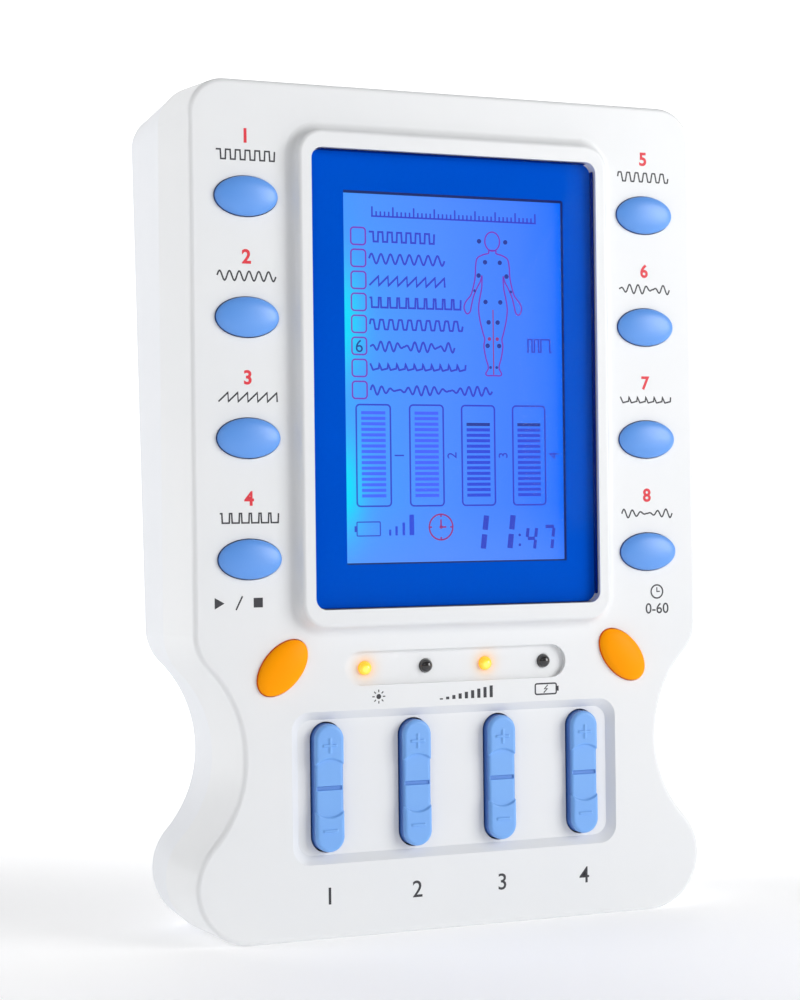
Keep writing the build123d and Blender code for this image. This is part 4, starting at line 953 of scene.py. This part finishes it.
makePiece("screen_gauge_frames", frames, "mark_indigo")
makePiece("screen_pale_bars", paleBars, "bar_pale")
makePiece("screen_deep_bars", deepBars, "bar_deep")
makePiece("screen_top_bars", topBars, "mark_dark")

foot = {"batteryX": -20.2 * mm, "batteryZ": 87.6 * mm, "batteryWidth": 5.4 * mm, "batteryHeight": 3.0 * mm,
        "batteryRound": 0.2 * mm, "batteryLine": 0.26 * mm, "tipGap": 0.35 * mm, "tip": (0.45 * mm, 1.3 * mm),
        "barsX": -15.2 * mm, "barsZ": 86.1 * mm, "bars": ((0.0, 0.5, 1.3), (1.5, 0.55, 2.0), (3.2, 0.6, 2.8),
                                                          (5.1, 1.1, 4.5)),
        "clockX": -3.15 * mm, "clockZ": 87.8 * mm, "clockRadius": 2.8 * mm, "tickFrom": 0.78, "longHand": 0.6,
        "shortHand": 0.45, "hubRadius": 0.4 * mm, "digitZ": 82.4 * mm, "slant": 0.12, "strokeGap": 0.12,
        "digits": (("1", 5.5, 1.4, 8.3, 1.3), ("1", 12.0, 1.4, 8.3, 1.3), ("4", 17.4, 2.1, 5.2, 0.75),
                   ("7", 21.7, 2.1, 5.2, 0.75)),
        "colonX": 15.9 * mm, "colonRadius": 0.32 * mm, "colonRises": (1.2, 3.4)}
x, z = foot["batteryX"], foot["batteryZ"]
cell = lit([softBox(x, z, foot["batteryWidth"], foot["batteryHeight"], foot["batteryRound"])], closed=True,
           width=foot["batteryLine"])
cell += lit([bar(x - foot["batteryWidth"] / 2 - foot["tipGap"], z, *foot["tip"])], True)
makePiece("screen_battery", cell, "mark_indigo")
rising = [bar(foot["barsX"] + at * mm, foot["barsZ"] + tall * mm / 2, wide * mm, tall * mm)
          for at, wide, tall in foot["bars"]]
makePiece("screen_rising_bars", lit(rising, True), "bar_deep")
x, z, radius = foot["clockX"], foot["clockZ"], foot["clockRadius"]
clock = lit([arc(x, z, radius, count=40)], closed=True)
clock += lit(spokes(x, z, radius, foot["tickFrom"] * radius, 4))
clock += lit([[(x, z + foot["longHand"] * radius), (x, z)], [(x, z), (x + foot["shortHand"] * radius, z)]])
clock += lit([arc(x, z, foot["hubRadius"], count=16)], True)
makePiece("screen_clock", clock, "mark_red")

segments = {"1": "bc", "4": "fgbc", "7": "abc"}  # which of the seven strokes each number takes


def digit(figureText, x, z, width, height, stroke):
    # the number's strokes on a slanted oblong
    gap = foot["strokeGap"] * height
    ends = {"a": (0, height, 1, height), "b": (1, height - gap / 2, 1, height / 2 + gap / 2),
            "c": (1, height / 2 - gap / 2, 1, gap / 2), "f": (0, height - gap / 2, 0, height / 2 + gap / 2),
            "g": (0.08, height / 2, 0.92, height / 2)}
    shapes = []
    for letter in segments[figureText]:
        x0, z0, x1, z1 = ends[letter]
        shapes.append([(x + x0 * width + foot["slant"] * z0, z + z0), (x + x1 * width + foot["slant"] * z1, z + z1)])
    return lit(shapes, width=stroke)


digits = []
for number, at, width, height, stroke in foot["digits"]:
    digits += digit(number, at * mm, foot["digitZ"], width * mm, height * mm, stroke * mm)
digits += lit([arc(foot["colonX"], foot["digitZ"] + rise * mm, foot["colonRadius"], count=12)
               for rise in foot["colonRises"]], True)
makePiece("screen_digits", digits, "mark_digit")

# painted shade: dark lines on the panel just inside the printed window stand in for the shade that the window's edge
# casts; its right side lies behind the window's edge
edgeShadeLine = {"left": -25.85 * mm, "right": 27.3 * mm, "low": 79.9 * mm, "high": 160.55 * mm, "line": 0.7 * mm}
left, right, low, high = (edgeShadeLine[side] for side in ("left", "right", "low", "high"))
edgeShadeLines = [[(left, high), (right, high)], [(left, low), (right, low)], [(right, low), (right, high)]]
makePiece("screen_edge_shade", lit(edgeShadeLines, width=edgeShadeLine["line"]), "mark_edge_shade")
print("display marks done")
